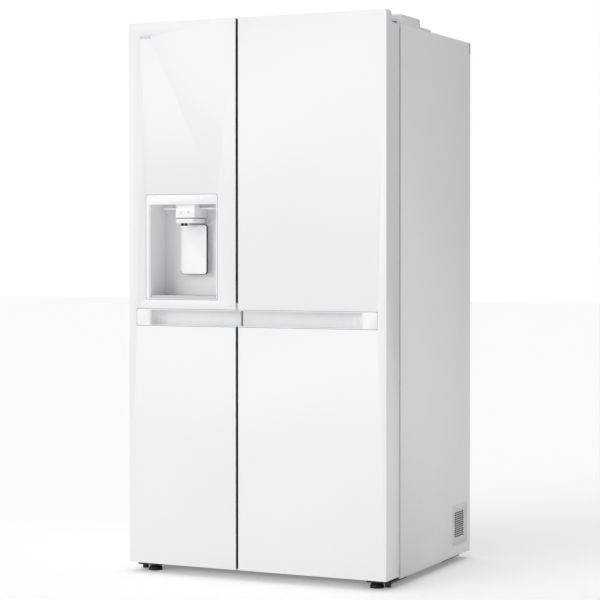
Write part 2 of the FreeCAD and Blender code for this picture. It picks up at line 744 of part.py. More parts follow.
def raised_part(plug, dishes, inset):
    """Raised edge of a door liner; inset draws the foam space inside it."""
    y1 = door_back + plug_depth - inset
    y0 = liner_back if inset else door_back
    block = rounded_y(plug[0] + inset, plug[1] - inset, y0, y1, plug_z[0] + inset, plug_z[1] - inset,
                      14.0 - inset)
    for low, high in dishes:
        block = block.cut(rounded_y(plug[0] + dyke_width - inset, plug[1] - dyke_width + inset,
                                    y0 - 1, y1 + 1, low - inset, high + inset, 8.0 + inset))
    return block


def door_liner(span, plug, dishes, holders, chute):
    flange = box(span[0] + skin, span[1] - skin, liner_back, door_back,
                 door_bottom + cap_skirt, ledge - cap_skirt)
    raised = raised_part(plug, dishes, 0.0)
    filling = raised_part(plug, dishes, door_liner_wall)
    shell = join([flange, raised]).cut(filling)
    lugs = []
    for z in holders:
        for x0, x1 in ((plug[0] + dyke_width - 1, plug[0] + dyke_width + 14),
                       (plug[1] - dyke_width - 20, plug[1] - dyke_width + 1)):
            lugs.append(box(x0, x1, door_back - 1, door_back + plug_depth - 8, z - 14, z))
    shell = join([shell] + lugs)
    return shell.cut(chute) if chute else shell, filling


def door_foam(span, filling, occupied):
    block = door_profile(span[0] + skin, span[1] - skin, skin)
    block = block.common(box(span[0], span[1], front, liner_back, 0, overall_height + 1))
    block = block.fuse(filling)
    for tool in occupied:
        block = block.cut(tool)
    return block


def gasket(outer_x, inner_x, low, high):
    """Magnetic seal: seat, bellows and magnet head, three stacked rings."""
    y0 = door_back
    head = cabinet_front - gasket_seat
    rings = []
    for inset, y_a, y_b in ((0.0, y0, y0 + 4.0), (4.0, y0 + 4.0, head - 4.0), (1.0, head - 4.0, head)):
        ring = rounded_y(outer_x + inset, inner_x - inset, y_a, y_b, low + inset, high - inset, 8.0)
        width = gasket_width - inset
        ring = ring.cut(rounded_y(outer_x + width, inner_x - width, y_a - 1, y_b + 1,
                                  low + width, high - width, 4.0))
        rings.append(ring)
    return join(rings)


gasket_low = floor_height - liner_wall - 25.0
gasket_high = roof + liner_wall + 22.0


# ---------------------------------------------------------------- recessed handle
def handle_plan(outer_end, free_edge, offset, closed_depth):
    """Plan of the channel, drawn for a handle whose outer end is on the left.

    The surface leaves the door front by a small convex arc and meets the channel's flat
    floor by a large concave one; offset draws the back of the wall."""
    turn = math.acos(1 - handle_depth / (handle_entry_radius + handle_run_radius))
    x_a = outer_end + handle_flat
    x_b = x_a + (handle_entry_radius + handle_run_radius) * math.sin(turn)
    small, large = handle_entry_radius - offset, handle_run_radius + offset
    floor_y = front + handle_depth
    top_centre = Vector(x_a, front + handle_entry_radius, 0)
    low_centre = Vector(x_b, floor_y - handle_run_radius, 0)

    def on_small(angle):
        return top_centre + Vector(small * math.sin(angle), -small * math.cos(angle), 0)

    def on_large(angle):
        return low_centre + Vector(-large * math.sin(angle), large * math.cos(angle), 0)

    start, bend, end = on_small(0), on_small(turn), on_large(0)
    edges = [Part.Arc(start, on_small(turn / 2), bend).toShape(),
             Part.Arc(bend, on_large(turn / 2), end).toShape()]
    if closed_depth:
        left = [Vector(outer_end, front, 0), Vector(outer_end, start.y, 0)]
        right = [Vector(free_edge, end.y, 0), Vector(free_edge, front, 0)]
    else:
        left = [Vector(x_a, front - 5, 0)]
        right = [Vector(free_edge + 5, end.y, 0), Vector(free_edge + 5, front - 5, 0)]
    path = [end] + right + left + [start]
    edges += [Part.LineSegment(a, b).toShape() for a, b in zip(path, path[1:])]
    return Part.Face(Part.Wire(Part.__sortEdges__(edges)))


def handle_solids(outer_end, free_edge):
    """Insert of a handle with its outer end on the left, and the space it takes in the door."""
    low, high = handle_bottom, handle_bottom + handle_height
    wall = handle_wall
    body = handle_plan(outer_end, free_edge, wall, True)
    channel = handle_plan(outer_end, free_edge, 0.0, False)

    def slab(face, z0, z1):
        return face.extrude(Vector(0, 0, z1 - z0)).translated(Vector(0, 0, z0))

    outer = slab(body, low, high)
    corners = [e for e in edges_along(outer, Vector(0, 1, 0))
               if abs(e.CenterOfMass.x - outer_end) < 1e-6]
    outer = outer.makeFillet(handle_corner, corners)
    behind = box(outer_end, free_edge, front + handle_lip - wall, back,
                 high - 1, high + handle_undercut + wall)
    pocket = slab(body, high - 1, high + handle_undercut + wall).common(behind)
    outer = join([outer, pocket])
    hollow = slab(channel, low + wall, high - wall)
    pocket_box = box(outer_end, free_edge + 5, front + handle_lip, back, low + wall, high + handle_undercut)
    hollow = hollow.fuse(slab(channel, low + wall, high + handle_undercut).common(pocket_box))
    insert = outer.cut(hollow)
    reach = box(outer_end - 1, free_edge + 1, front - 1, front + skin,
                low - trim_gap, high + trim_gap)
    reach = reach.cut(box(outer_end - 2, outer_end - trim_gap, front - 2, back, 0, overall_height))
    return insert.removeSplitter(), outer, outer.fuse(hollow), reach


# ---------------------------------------------------------------- dispenser
bezel_x = (freezer_door_x[0] + dispenser_left, freezer_door_x[0] + dispenser_left + dispenser_width)
bezel_z = (dispenser_bottom, dispenser_bottom + dispenser_height)
recess_x = (bezel_x[0] + bezel_strip, bezel_x[1] - bezel_strip_inner)
recess_z = (bezel_z[0] + bezel_sill, bezel_z[1] - band_height)
recess_y = (front + bezel_depth, front + recess_depth)
head_x = (sum(bezel_x) / 2 + head_offset - head_width / 2, sum(bezel_x) / 2 + head_offset + head_width / 2)
head_z = (recess_z[1] - head_height, recess_z[1])
collar_z = (head_z[0] - collar_height, head_z[0])
head_y = (front + head_setback, recess_y[1])
chute_x = (sum(head_x) / 2 - 20.0, sum(head_x) / 2 + 20.0)
chute_y = (head_y[0] + 28.0, head_y[0] + 68.0)
chute_wall = 2.0
paddle_x = (sum(bezel_x) / 2 + 1.3 - paddle_width / 2, sum(bezel_x) / 2 + 1.3 + paddle_width / 2)
paddle_z = (collar_z[0] - paddle_gap - paddle_height, collar_z[0] - paddle_gap)
paddle_y = (front + paddle_setback, front + paddle_setback + paddle_thickness)
paddle_axis_z = paddle_z[1] - 6.0
paddle_axis_y = paddle_y[1] + paddle_pin_setback


def dispenser_bezel():
    plate = rounded_y(bezel_x[0], bezel_x[1], front, recess_y[0], bezel_z[0], bezel_z[1], bezel_radius)
    mouth = box(recess_x[0], recess_x[1], front - 1, recess_y[0] + 1, recess_z[0], recess_z[1])
    ring = plate.cut(mouth)
    for x, strip in ((recess_x[0], bezel_strip), (recess_x[1], bezel_strip_inner)):
        side = [e for e in edges_along(ring, Vector(0, 0, 1))
                if abs(e.CenterOfMass.y - front) < 1e-6 and abs(e.CenterOfMass.x - x) < 1e-6]
        ring = ring.makeFillet(min(mouth_roll, strip / 2), side)
    return ring


def chute_solid(grow):
    """Slanted ice passage from the ice maker down to the dispenser head."""
    y0, y1 = chute_y[0] - grow, chute_y[1] + grow
    top = bezel_z[1] + 14.0
    shift = 52.0
    return prism([(chute_x[0] - grow, y0, recess_z[1]), (chute_x[0] - grow, y1, recess_z[1]),
                  (chute_x[0] - grow, y1 + shift, top), (chute_x[0] - grow, y0 + shift, top)],
                 (chute_x[1] - chute_x[0] + 2 * grow, 0, 0))


def dispenser_housing():
    """Recess tub with the paddle's pivot lugs and the ice passage above it."""
    wall = housing_wall
    outer = box(recess_x[0] - wall, recess_x[1] + wall, recess_y[0], recess_y[1] + wall,
                recess_z[0] - wall, recess_z[1] + wall)
    inner = rounded_y(recess_x[0], recess_x[1], recess_y[0] - 1, recess_y[1], recess_z[0], recess_z[1], 3.0)
    passage = chute_solid(chute_wall)
    tub = outer.fuse(passage).cut(inner).cut(chute_solid(0)).cut(
        box(chute_x[0], chute_x[1], chute_y[0], chute_y[1], recess_z[1] - 1, recess_z[1] + wall + 0.1))
    lugs = []
    for x0 in (paddle_x[0] + lug_inset, paddle_x[1] - lug_inset - lug_thickness):
        lug = box(x0, x0 + lug_thickness, paddle_axis_y - lug_reach, recess_y[1],
                  paddle_axis_z - lug_reach, paddle_axis_z + lug_reach)
        lugs.append(lug.cut(rod((x0 - 1, paddle_axis_y, paddle_axis_z),
                                paddle_pin + running_clearance, lug_thickness + 2, (1, 0, 0))))
    whole = join([tub] + lugs)
    return whole, outer.fuse(passage)


def dispenser_head():
    """Hollow nozzle housing with its collar, the ice outlet and the water nozzle."""
    block = box(head_x[0], head_x[1], head_y[0], head_y[1], head_z[0], head_z[1])
    corner = [e for e in edges_along(block, Vector(0, 0, 1))
              if abs(e.CenterOfMass.y - head_y[0]) < 1e-6 and abs(e.CenterOfMass.x - head_x[0]) < 1e-6]
    block = block.makeFillet(head_radius, corner)
    collar = rounded_z(head_x[0] + 2.5, head_x[1] - 2.5, head_y[0] + 2.5, head_y[1],
                       collar_z[0], collar_z[1], 10.0)
    wall = 3.0
    hollow = box(head_x[0] + 5.5, head_x[1] - 5.5, head_y[0] + 5.5, head_y[1] - wall,
                 collar_z[0] + wall, head_z[1] + 1)
    middle_x = sum(head_x) / 2
    outlet = rod((middle_x, sum(chute_y) / 2, collar_z[0] - 1), 15.0, 6.0, (0, 0, 1))
    lugs = [box(x, x + 4, flap_axis_y - 4, flap_axis_y + 4, collar_z[0] + wall, flap_z + 6)
            for x in (flap_x[0] - 5, flap_x[1] + 1)]
    holes = [rod((x, flap_axis_y, flap_z + 1), 1.5 + running_clearance, 8.0, (1, 0, 0))
             for x in (flap_x[0] - 7, flap_x[1] - 1)]
    nozzle = tube((middle_x - 14, head_y[0] + 14, collar_z[0] - 5), 4.0, 2.5, 9.0, (0, 0, 1))
    spout = tube((middle_x - 1, head_y[0] + 14, collar_z[0] - 5), 4.0, 2.5, 9.0, (0, 0, 1))
    body = join([block, collar]).cut(hollow).cut(outlet)
    return join([body, nozzle, spout] + lugs).cut(group(holes))


flap_x = (sum(head_x) / 2 - 19.0, sum(head_x) / 2 + 19.0)
flap_axis_y = chute_y[1] + 4.0
flap_z = collar_z[0] + 4.2


def chute_flap():
    """Ice door that closes the outlet of the head and lifts with the paddle."""
    plate = box(flap_x[0], flap_x[1], flap_axis_y - 42, flap_axis_y, flap_z, flap_z + 2)
    pin = rod((flap_x[0] - 4.5, flap_axis_y, flap_z + 1), 1.5, flap_x[1] - flap_x[0] + 9, (1, 0, 0))
    return join([plate, pin])


def dispenser_paddle():
    plate = rounded_y(paddle_x[0], paddle_x[1], paddle_y[0], paddle_y[1], paddle_z[0], paddle_z[1], 9.0)
    rim = rounded_y(paddle_x[0] + 3, paddle_x[1] - 3, paddle_y[0] - 1, paddle_y[0] + 1.2,
                    paddle_z[0] + 3, paddle_z[1] - 12, 6.0)
    ends = (paddle_x[0] + lug_inset - lug_gap - lug_thickness, paddle_x[1] - lug_inset + lug_gap)
    webs = [box(x0, x0 + lug_thickness, paddle_y[1] - 0.5, paddle_axis_y,
                paddle_axis_z - paddle_pin, paddle_axis_z + paddle_pin) for x0 in ends]
    pin = rod((ends[0], paddle_axis_y, paddle_axis_z), paddle_pin,
              ends[1] + lug_thickness - ends[0], (1, 0, 0))
    return join([plate.cut(rim), pin] + webs)


tray_x = (recess_x[0] + 1.5, recess_x[1] - 1.5)
tray_y = (front + 3.0, recess_y[1] - 2.0)
tray_z = (recess_z[0] + 0.4, recess_z[0] + 0.4 + tray_height)


def drip_tray():
    tray = rounded_z(tray_x[0], tray_x[1], tray_y[0], tray_y[1], tray_z[0], tray_z[1], 3.0)
    slots = []
    count = 15
    for x in between(tray_x[0] + 14, tray_x[1] - 14, count):
        slots.append(box(x - 4, x + 4, tray_y[0] + 12, tray_y[1] - 10, tray_z[0] + 2, tray_z[1] + 1))
    return tray.cut(group(slots))


# ---------------------------------------------------------------- door baskets and ice maker
def basket(x0, x1, z):
    """Open door basket that stands on two lugs of the door liner."""
    y0, y1 = door_back + 4.5, door_back + 4.5 + basket_reach
    outer = rounded_z(x0, x1, y0, y1, z, z + basket_height, 16.0)
    inner = rounded_z(x0 + basket_wall, x1 - basket_wall, y0 + basket_wall, y1 - basket_wall,
                      z + basket_wall, z + basket_height + 1, 16.0 - basket_wall)
    return outer.cut(inner)


def ice_maker(x0, x1):
    """Ice unit on the freezer door: hollow bin below, making tray and drive box above."""
    y0, y1 = door_back, door_back + 112.0
    z0, z1 = bezel_z[1] + 29.0, roof - 60.0
    wall = 3.0
    split = z0 + 0.62 * (z1 - z0)
    shell = rounded_z(x0, x1, y0, y1, z0, z1, 12.0)
    bin_space = rounded_z(x0 + wall, x1 - wall, y0 + wall, y1 - wall, z0 + wall, split, 9.0)
    top_space = rounded_z(x0 + wall, x1 - wall, y0 + wall, y1 - wall, split + wall, z1 - wall, 9.0)
    unit = z1 - split

    def bin_at(share):
        return split - share * (split - z0)

    def unit_at(share):
        return split + share * unit

    mouth = box(x0 + 16, x1 - 16, y1 - wall - 1, y1 + 1, bin_at(0.26), bin_at(0.03))
    window = box(x0 + 16, x1 - 16, y1 - wall - 1, y1 + 1, unit_at(0.1), unit_at(0.9))
    outlet = box(chute_x[0] + 1, chute_x[1] - 1, y0 + 4, y0 + 40, z0 - 1, z0 + wall + 1)
    shell = shell.cut(bin_space).cut(top_space).cut(mouth).cut(window).cut(outlet)
    tray = box(x0 + 22, x1 - 50, y0 + wall, y0 + 70, unit_at(0.21), unit_at(0.42))
    cells = [box(x, x + 16, y0 + wall + 4, y0 + 64, unit_at(0.24), unit_at(0.43))
             for x in between(x0 + 26, x1 - 72, 5)]
    drive = box(x1 - 46, x1 - 12, y0 + wall, y0 + 80, unit_at(0.17), unit_at(0.52))
    legs = box(x0 + 22, x1 - 12, y0 + wall, y0 + 14, split, unit_at(0.22))
    return join([shell, tray.cut(group(cells)), drive, legs])


# ---------------------------------------------------------------- assembly
def add(name, shape):
    nodes[name] = shape


def add_pair(name, shape):
    add(name + "_right", shape)
    add(name + "_left", mirror_x(shape))


def build_cabinet():
    add("side_panel_right", side_panel(fridge_x[1] + liner_wall, True))
    add("side_panel_left", mirror_x(side_panel(-freezer_x[0] + liner_wall, False)))
    add("top_panel", top_panel())
    add("back_panel", back_panel())
    add("front_trim", front_trim())
    base = base_frame()
    add("base_frame", base)
    add("freezer_liner", liner(freezer_x, freezer_shelf_z, freezer_shelf_back))
    add("fridge_liner", liner(fridge_x, fridge_shelf_z, fridge_shelf_back))
    add("insulation_foam", insulation((freezer_x, fridge_x), base))
    add("side_vent_grille", vent_grille())
    add("machine_room_cover", machine_room_cover())


def build_fittings():
    add("freezer_duct_panel", duct_panel(freezer_x, freezer_duct_y, 0.0, freezer_shelf_z[1:]))
    add("fridge_duct_panel", duct_panel(fridge_x, fridge_duct_y, 110.0, fridge_shelf_z[1:]))
    for side, span, heights, y1 in (("freezer", freezer_x, freezer_shelf_z, freezer_shelf_back),
                                    ("fridge", fridge_x, fridge_shelf_z, fridge_shelf_back)):
        pairs = [shelf(span, z, y1) for z in heights]
        add(side + "_shelf_glass", group([pair[0] for pair in pairs]))
        add(side + "_shelf_frames", group([pair[1] for pair in pairs]))
        name = "freezer_drawer" if side == "freezer" else "crisper"
        add(name + "_lower", drawer(span, lower_drawer_z, step_front - 8))
        add(name + "_upper", drawer(span, upper_drawer_z, y1 - 8))
    add("evaporator", evaporator())
    add("compressor", compressor())
    add("condenser", condenser())
    add("condenser_fan", condenser_fan())


def build_supports():
    hinge, cover = top_hinge(), hinge_cover()
    screws = []
    for y in (cabinet_front + 40, cabinet_front + 80, cabinet_front + 120):
        screws.append(screw((hinge_x - 12, y, cabinet_top + hinge_plate), (0, 0, 1), hinge_plate))
    pair = screws + [mirror_x(s) for s in screws]
    y_cover = back - cover_plate_setback
    for x in between(-half_width + 20, half_width - 20, 5):
        for z in (pan_top + 14, room_top - pan - 12):
            pair.append(screw((x, y_cover, z), (0, 1, 0), skin))
    hinge = hinge.cut(group(screws))
    nodes["machine_room_cover"] = nodes["machine_room_cover"].cut(group(pair))
    add("cabinet_screws", group(pair))
    add_pair("top_hinge", hinge)
    add_pair("hinge_cover", cover)
    add_pair("bottom_hinge", bottom_hinge())
    add_pair("front_foot", front_foot())
    add_pair("rear_roller", roller())


def build_door(name, span, space_span, axis_x, dishes, basket_z, fittings, chute):
    """Skin, caps, liner, foam, gasket and baskets of one door, round what is let into it."""
    plug = plug_span(space_span)
    skin_cuts = [tool for fitting in fittings for tool in fitting[0]]
    foam_cuts = [fitting[1] for fitting in fittings]
    caps, bosses = door_caps(span, axis_x)
    panel, filling = door_liner(span, plug, dishes, basket_z, chute)
    add(name + "_door_skin", door_skin(span, skin_cuts))
    add(name + "_door_caps", caps)
    add(name + "_door_liner", panel)
    add(name + "_door_foam", door_foam(span, filling, foam_cuts + [caps, bosses, panel]))
    if axis_x < 0:
        seal = (span[0] + gasket_inset, freezer_door_x[1] - 2.0)
    else:
        seal = (fridge_door_x[0] + 2.0, span[1] - gasket_inset)
    add(name + "_door_gasket", gasket(seal[0], seal[1], gasket_low, gasket_high))
    labels = ("lower", "upper") if len(basket_z) == 2 else ("lower", "middle", "upper")
    x0 = plug[0] + dyke_width + 2.0
    x1 = plug[1] - dyke_width - 2.0
    if axis_x < 0:
        x1 -= 10.0
    for label, z in zip(labels, basket_z):
        add(name + "_door_basket_" + label, basket(x0, x1, z))


def build_doors():
    low = plug_z[0] + dyke_width
    high = plug_z[1] - dyke_width
    left_end = freezer_door_x[0] + handle_side_margin
    insert, outer, tool, reach = handle_solids(left_end, freezer_door_x[1])
    housing, housing_outer = dispenser_housing()
    bezel = dispenser_bezel()
    bezel_room = rounded_y(bezel_x[0] - trim_gap, bezel_x[1] + trim_gap, front - 1, front + skin,
                           bezel_z[0] - trim_gap, bezel_z[1] + trim_gap, bezel_radius)
    bezel_outer = rounded_y(bezel_x[0], bezel_x[1], front, recess_y[0], bezel_z[0], bezel_z[1], bezel_radius)
    badge_x = freezer_door_x[0] + badge_left
    badge_top = overall_height - badge_drop
    badge_pocket = rounded_y(badge_x, badge_x + badge_width, front - 1, front + badge_depth,
                             badge_top - badge_height, badge_top, badge_radius)
    freezer_baskets = [freezer_basket_bottom + i * freezer_basket_pitch for i in range(2)]
    build_door("freezer", freezer_door_x, freezer_x, -hinge_x,
               [(low, bezel_z[0] - 13.0), (bezel_z[1] + 14.0, high)], freezer_baskets,
               [([tool, reach], outer), ([bezel_room, badge_pocket], bezel_outer.fuse(housing_outer))],
               chute_solid(chute_wall))
    add("freezer_handle", insert)
    add("dispenser_bezel", bezel)
    add("dispenser_housing", housing)
    add("dispenser_head", dispenser_head())
    add("dispenser_paddle", dispenser_paddle())
    add("chute_flap", chute_flap())
    add("drip_tray", drip_tray())
    plug = plug_span(freezer_x)
    add("ice_maker", ice_maker(plug[0] + dyke_width + 2, plug[1] - dyke_width - 12))

    right_margin = -(fridge_door_x[1] - handle_side_margin - 1.0)
    insert, outer, tool, reach = [mirror_x(s) for s in handle_solids(right_margin, -fridge_door_x[0])]
    first = crisper_cover + fridge_basket_rise
    basket_pitch = (high - fridge_basket_headroom - first) / 3
    fridge_baskets = [first + i * basket_pitch for i in range(3)]
    build_door("fridge", fridge_door_x, fridge_x, hinge_x, [(low, high)], fridge_baskets,
               [([tool, reach], outer)], None)
    add("fridge_handle", insert)


def main():
    os.makedirs("parts", exist_ok=True)
    build_cabinet()
    build_fittings()
    build_supports()
    build_doors()
    for name, shape in nodes.items():
        shape.exportStep("parts/" + name + ".step")
        solids = shape.Solids
        print(name, len(solids), "solid(s)", "valid" if shape.isValid() else "NOT VALID",
              round(shape.Volume / 1000.0, 1), "cm3")
    print(len(nodes), "nodes")


main()
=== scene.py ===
# %% [markdown]
# # A side by side refrigerator
#
# This notebook dresses a finished CAD model of a side by side refrigerator. The CAD holds every
# part at its real size, and the moving parts already ride on their bodies, so nothing here is
# moved or scaled. The work that is left is what the eye judges: crisp but rounded edges, real
# finishes, and the small repeated details that a working model leaves out.
#
# The first cell loads the frame. Everything is in metres, +Z is up and the doors face -Y.

# %% Load the frame
import json
import math

import bmesh
import bpy
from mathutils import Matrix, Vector


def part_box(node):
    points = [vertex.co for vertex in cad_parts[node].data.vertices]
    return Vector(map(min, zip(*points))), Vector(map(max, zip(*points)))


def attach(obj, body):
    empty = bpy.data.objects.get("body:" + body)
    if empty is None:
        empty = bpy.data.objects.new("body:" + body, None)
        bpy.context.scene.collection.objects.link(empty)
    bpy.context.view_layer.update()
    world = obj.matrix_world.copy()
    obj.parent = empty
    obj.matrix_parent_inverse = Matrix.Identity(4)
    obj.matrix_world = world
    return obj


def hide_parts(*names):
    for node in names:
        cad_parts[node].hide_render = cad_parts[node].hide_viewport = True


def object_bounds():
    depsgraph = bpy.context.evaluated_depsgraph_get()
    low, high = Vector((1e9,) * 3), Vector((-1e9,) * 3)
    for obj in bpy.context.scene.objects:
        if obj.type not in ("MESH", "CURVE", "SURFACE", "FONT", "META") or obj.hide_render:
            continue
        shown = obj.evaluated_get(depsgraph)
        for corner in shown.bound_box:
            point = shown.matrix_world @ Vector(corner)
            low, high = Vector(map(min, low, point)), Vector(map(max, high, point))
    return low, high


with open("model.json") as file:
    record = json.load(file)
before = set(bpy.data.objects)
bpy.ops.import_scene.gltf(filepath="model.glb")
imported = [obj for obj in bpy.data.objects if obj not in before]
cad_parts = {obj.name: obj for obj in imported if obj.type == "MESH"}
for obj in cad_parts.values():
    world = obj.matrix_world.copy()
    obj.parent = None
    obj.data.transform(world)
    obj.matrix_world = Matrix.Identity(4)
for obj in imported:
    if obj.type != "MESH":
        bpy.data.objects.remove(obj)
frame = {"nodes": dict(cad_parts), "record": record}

cad_low, cad_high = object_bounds()
nodes = frame["nodes"]
scene = bpy.context.scene
MM = 0.001
print("nodes", len(nodes), "box", [round(v, 4) for v in (*cad_low, *cad_high)])

# %% [markdown]
# ## Colour and nodes
#
# Colours are picked as sRGB hex values, as a paint chart gives them. Shaders work in linear light,
# so one function turns a hex value into linear numbers. A second small function adds any shader
# node with its settings and its links, which keeps each material short enough to read as a recipe.

# %% Colour and node helpers
def colour(hex_value):
    """Linear RGBA of an sRGB hex value such as #f4f5f6."""
    channels = [int(hex_value[i:i + 2], 16) / 255 for i in (1, 3, 5)]
    linear = [c / 12.92 if c <= 0.04045 else ((c + 0.055) / 1.055) ** 2.4 for c in channels]
    return (*linear, 1.0)


def add_node(tree, kind, settings=None, links=None):
    """Adds a node; settings are its properties or input values, links feed its inputs."""
    node = tree.nodes.new(kind)
    for key, value in (settings or {}).items():
        if isinstance(key, str) and hasattr(node, key):
            setattr(node, key, value)
        else:
            node.inputs[key].default_value = value
    for key, source in (links or {}).items():
        tree.links.new(source, node.inputs[key])
    return node


def new_material(name, settings):
    """A material with one Principled shader, whose plain values are set on its own sockets."""
    material = bpy.data.materials.new(name)
    material.use_nodes = True
    tree = material.node_tree
    shader = tree.nodes["Principled BSDF"]
    for key, value in settings.items():
        shader.inputs[key].default_value = value
    return material, tree, shader


def object_pattern(tree, pitch, stretch=(1.0, 1.0, 1.0)):
    """Object coordinates scaled so that one pattern unit is pitch metres, stretched per axis."""
    place = add_node(tree, "ShaderNodeTexCoord")
    size = tuple(1.0 / (pitch * s) for s in stretch)
    return add_node(tree, "ShaderNodeMapping", {"Scale": size}, {"Vector": place.outputs["Object"]})


def add_bump(tree, shader, height, strength, distance):
    """Surface relief: height feeds a Bump node whose distance is a real depth in metres."""
    bump = add_node(tree, "ShaderNodeBump", {"Strength": strength, "Distance": distance},
                    {"Height": height})
    tree.links.new(bump.outputs["Normal"], shader.inputs["Normal"])
    return bump


def vary_roughness(tree, shader, fac, low, high):
    """Roughness that drifts between two values, as handled or moulded surfaces do."""
    spread = add_node(tree, "ShaderNodeMapRange", {"To Min": low, "To Max": high}, {"Value": fac})
    tree.links.new(spread.outputs["Result"], shader.inputs["Roughness"])


def vary_colour(tree, shader, fac, first, second):
    """Base colour that drifts between two close tones of the same finish."""
    mix = add_node(tree, "ShaderNodeMix", {"data_type": "RGBA"}, {"Factor": fac})
    mix.inputs["A"].default_value = colour(first)
    mix.inputs["B"].default_value = colour(second)
    tree.links.new(mix.outputs["Result"], shader.inputs["Base Color"])
    return mix


print("white enamel in linear light", [round(c, 3) for c in colour("#f4f5f6")])

# %% [markdown]
# ## The painted steel
#
# The door fronts are pre-painted steel sheet: rolled flat, coated before it is bent, and baked. The
# film is smooth with a very faint orange peel of a few millimetres, which is what keeps a large white
# sheet from looking like paper. The cabinet sides are the same steel with a fine stucco grain that
# hides fingerprints and scatters the light, so they look greyer and duller than the doors.
#
# Both are noise textures on object coordinates, so the grain keeps its real size on every panel.

# %% Painted steel materials
PEEL_PITCH = 6.0 * MM       # wave length of the baked film's orange peel
GRAIN_PITCH = 1.6 * MM      # grain of the embossed side panels
SPANGLE_PITCH = 9.0 * MM    # zinc crystals on galvanised sheet


def door_enamel():
    """Pre-painted steel, satin white: IOR 1.5, a clear film that softens reflections."""
    material, tree, shader = new_material("door_enamel", {
        "Roughness": 0.34, "IOR": 1.5, "Coat Weight": 0.18, "Coat Roughness": 0.16})
    at = object_pattern(tree, PEEL_PITCH)
    peel = add_node(tree, "ShaderNodeTexNoise", {"Scale": 1.0, "Detail": 2.0},
                    {"Vector": at.outputs["Vector"]})
    broad = add_node(tree, "ShaderNodeTexNoise", {"Scale": 0.012, "Detail": 2.0},
                     {"Vector": at.outputs["Vector"]})
    vary_colour(tree, shader, broad.outputs["Fac"], "#edeef0", "#f0f1f2")
    vary_roughness(tree, shader, broad.outputs["Fac"], 0.31, 0.38)
    add_bump(tree, shader, peel.outputs["Fac"], 0.10, 0.05 * MM)
    return material


def stucco_paint(name, first, second, rough):
    """Embossed pre-painted sheet of the cabinet sides and top."""
    material, tree, shader = new_material(name, {"Roughness": rough, "IOR": 1.5})
    at = object_pattern(tree, GRAIN_PITCH)
    grain = add_node(tree, "ShaderNodeTexNoise", {"Scale": 1.0, "Detail": 3.0, "Roughness": 0.6},
                     {"Vector": at.outputs["Vector"]})
    broad = add_node(tree, "ShaderNodeTexNoise", {"Scale": 0.006, "Detail": 1.0},
                     {"Vector": at.outputs["Vector"]})
    vary_colour(tree, shader, broad.outputs["Fac"], first, second)
    vary_roughness(tree, shader, grain.outputs["Fac"], rough - 0.06, rough + 0.08)
    add_bump(tree, shader, grain.outputs["Fac"], 0.35, 0.12 * MM)
    return material


def galvanised_sheet():
    """Zinc-coated rear sheet: pale metal with large soft crystals."""
    material, tree, shader = new_material("galvanised_sheet", {"Metallic": 0.85, "Roughness": 0.42})
    at = object_pattern(tree, SPANGLE_PITCH)
    spangle = add_node(tree, "ShaderNodeTexVoronoi", {"Scale": 1.0}, {"Vector": at.outputs["Vector"]})
    tone = add_node(tree, "ShaderNodeSeparateColor", {}, {"Color": spangle.outputs["Color"]})
    vary_colour(tree, shader, tone.outputs["Red"], "#a9adb0", "#c3c6c8")
    vary_roughness(tree, shader, tone.outputs["Green"], 0.34, 0.52)
    add_bump(tree, shader, spangle.outputs["Distance"], 0.06, 0.05 * MM)
    return material


def painted_black_steel(name, first, second, rough):
    """Dipped and baked black coat on pressed steel, with a little dust-like mottling."""
    material, tree, shader = new_material(name, {"Roughness": rough, "IOR": 1.5})
    at = object_pattern(tree, 3.0 * MM)
    mottle = add_node(tree, "ShaderNodeTexNoise", {"Scale": 1.0, "Detail": 4.0},
                      {"Vector": at.outputs["Vector"]})
    vary_colour(tree, shader, mottle.outputs["Fac"], first, second)
    vary_roughness(tree, shader, mottle.outputs["Fac"], rough - 0.08, rough + 0.10)
    add_bump(tree, shader, mottle.outputs["Fac"], 0.12, 0.08 * MM)
    return material


DOOR_ENAMEL = door_enamel()
SIDE_PAINT = stucco_paint("stucco_painted_steel", "#eeeff1", "#f3f3f4", 0.46)
TRIM_PAINT = stucco_paint("painted_front_flange", "#eceded", "#f0f1f2", 0.38)
GALVANISED = galvanised_sheet()
BLACK_STEEL = painted_black_steel("black_dipped_steel", "#0f1011", "#191a1b", 0.48)
print("painted steels:", DOOR_ENAMEL.name, SIDE_PAINT.name, GALVANISED.name, BLACK_STEEL.name)

# %% [markdown]
# ## Moulded plastics
#
# Three families of plastic meet the eye. ABS trim, such as the handle inserts and the dispenser, is
# injection moulded in a polished tool with a soft spark-eroded grain. The inner liners are polystyrene
# sheet, drawn over a mould by vacuum, so they are smooth and waxy, with a little light passing into the
# surface. The drawers and door baskets are clear polystyrene with a faint blue tint.
#
# A moulding grain is a fraction of a millimetre, too fine to show from across a room, so its bump is
# drawn a little coarser than life.

# %% Plastic materials
MOULD_GRAIN = 0.9 * MM      # drawn coarser than the real 0.1 mm spark grain, so that it shows
SHEET_WAVE = 30.0 * MM      # slow waves of vacuum-formed sheet


def moulded_abs(name, first, second, rough, grain_depth=0.05):
    """Injection moulded ABS: IOR 1.53, even colour, fine tool grain."""
    material, tree, shader = new_material(name, {"Roughness": rough, "IOR": 1.53,
                                                 "Subsurface Weight": 0.05,
                                                 "Subsurface Scale": 1.0 * MM})
    at = object_pattern(tree, MOULD_GRAIN)
    grain = add_node(tree, "ShaderNodeTexNoise", {"Scale": 1.0, "Detail": 2.0},
                     {"Vector": at.outputs["Vector"]})
    flow = add_node(tree, "ShaderNodeTexNoise", {"Scale": 0.02, "Detail": 1.0},
                    {"Vector": at.outputs["Vector"]})
    vary_colour(tree, shader, flow.outputs["Fac"], first, second)
    vary_roughness(tree, shader, grain.outputs["Fac"], rough - 0.05, rough + 0.07)
    add_bump(tree, shader, grain.outputs["Fac"], 0.18, grain_depth * MM)
    return material


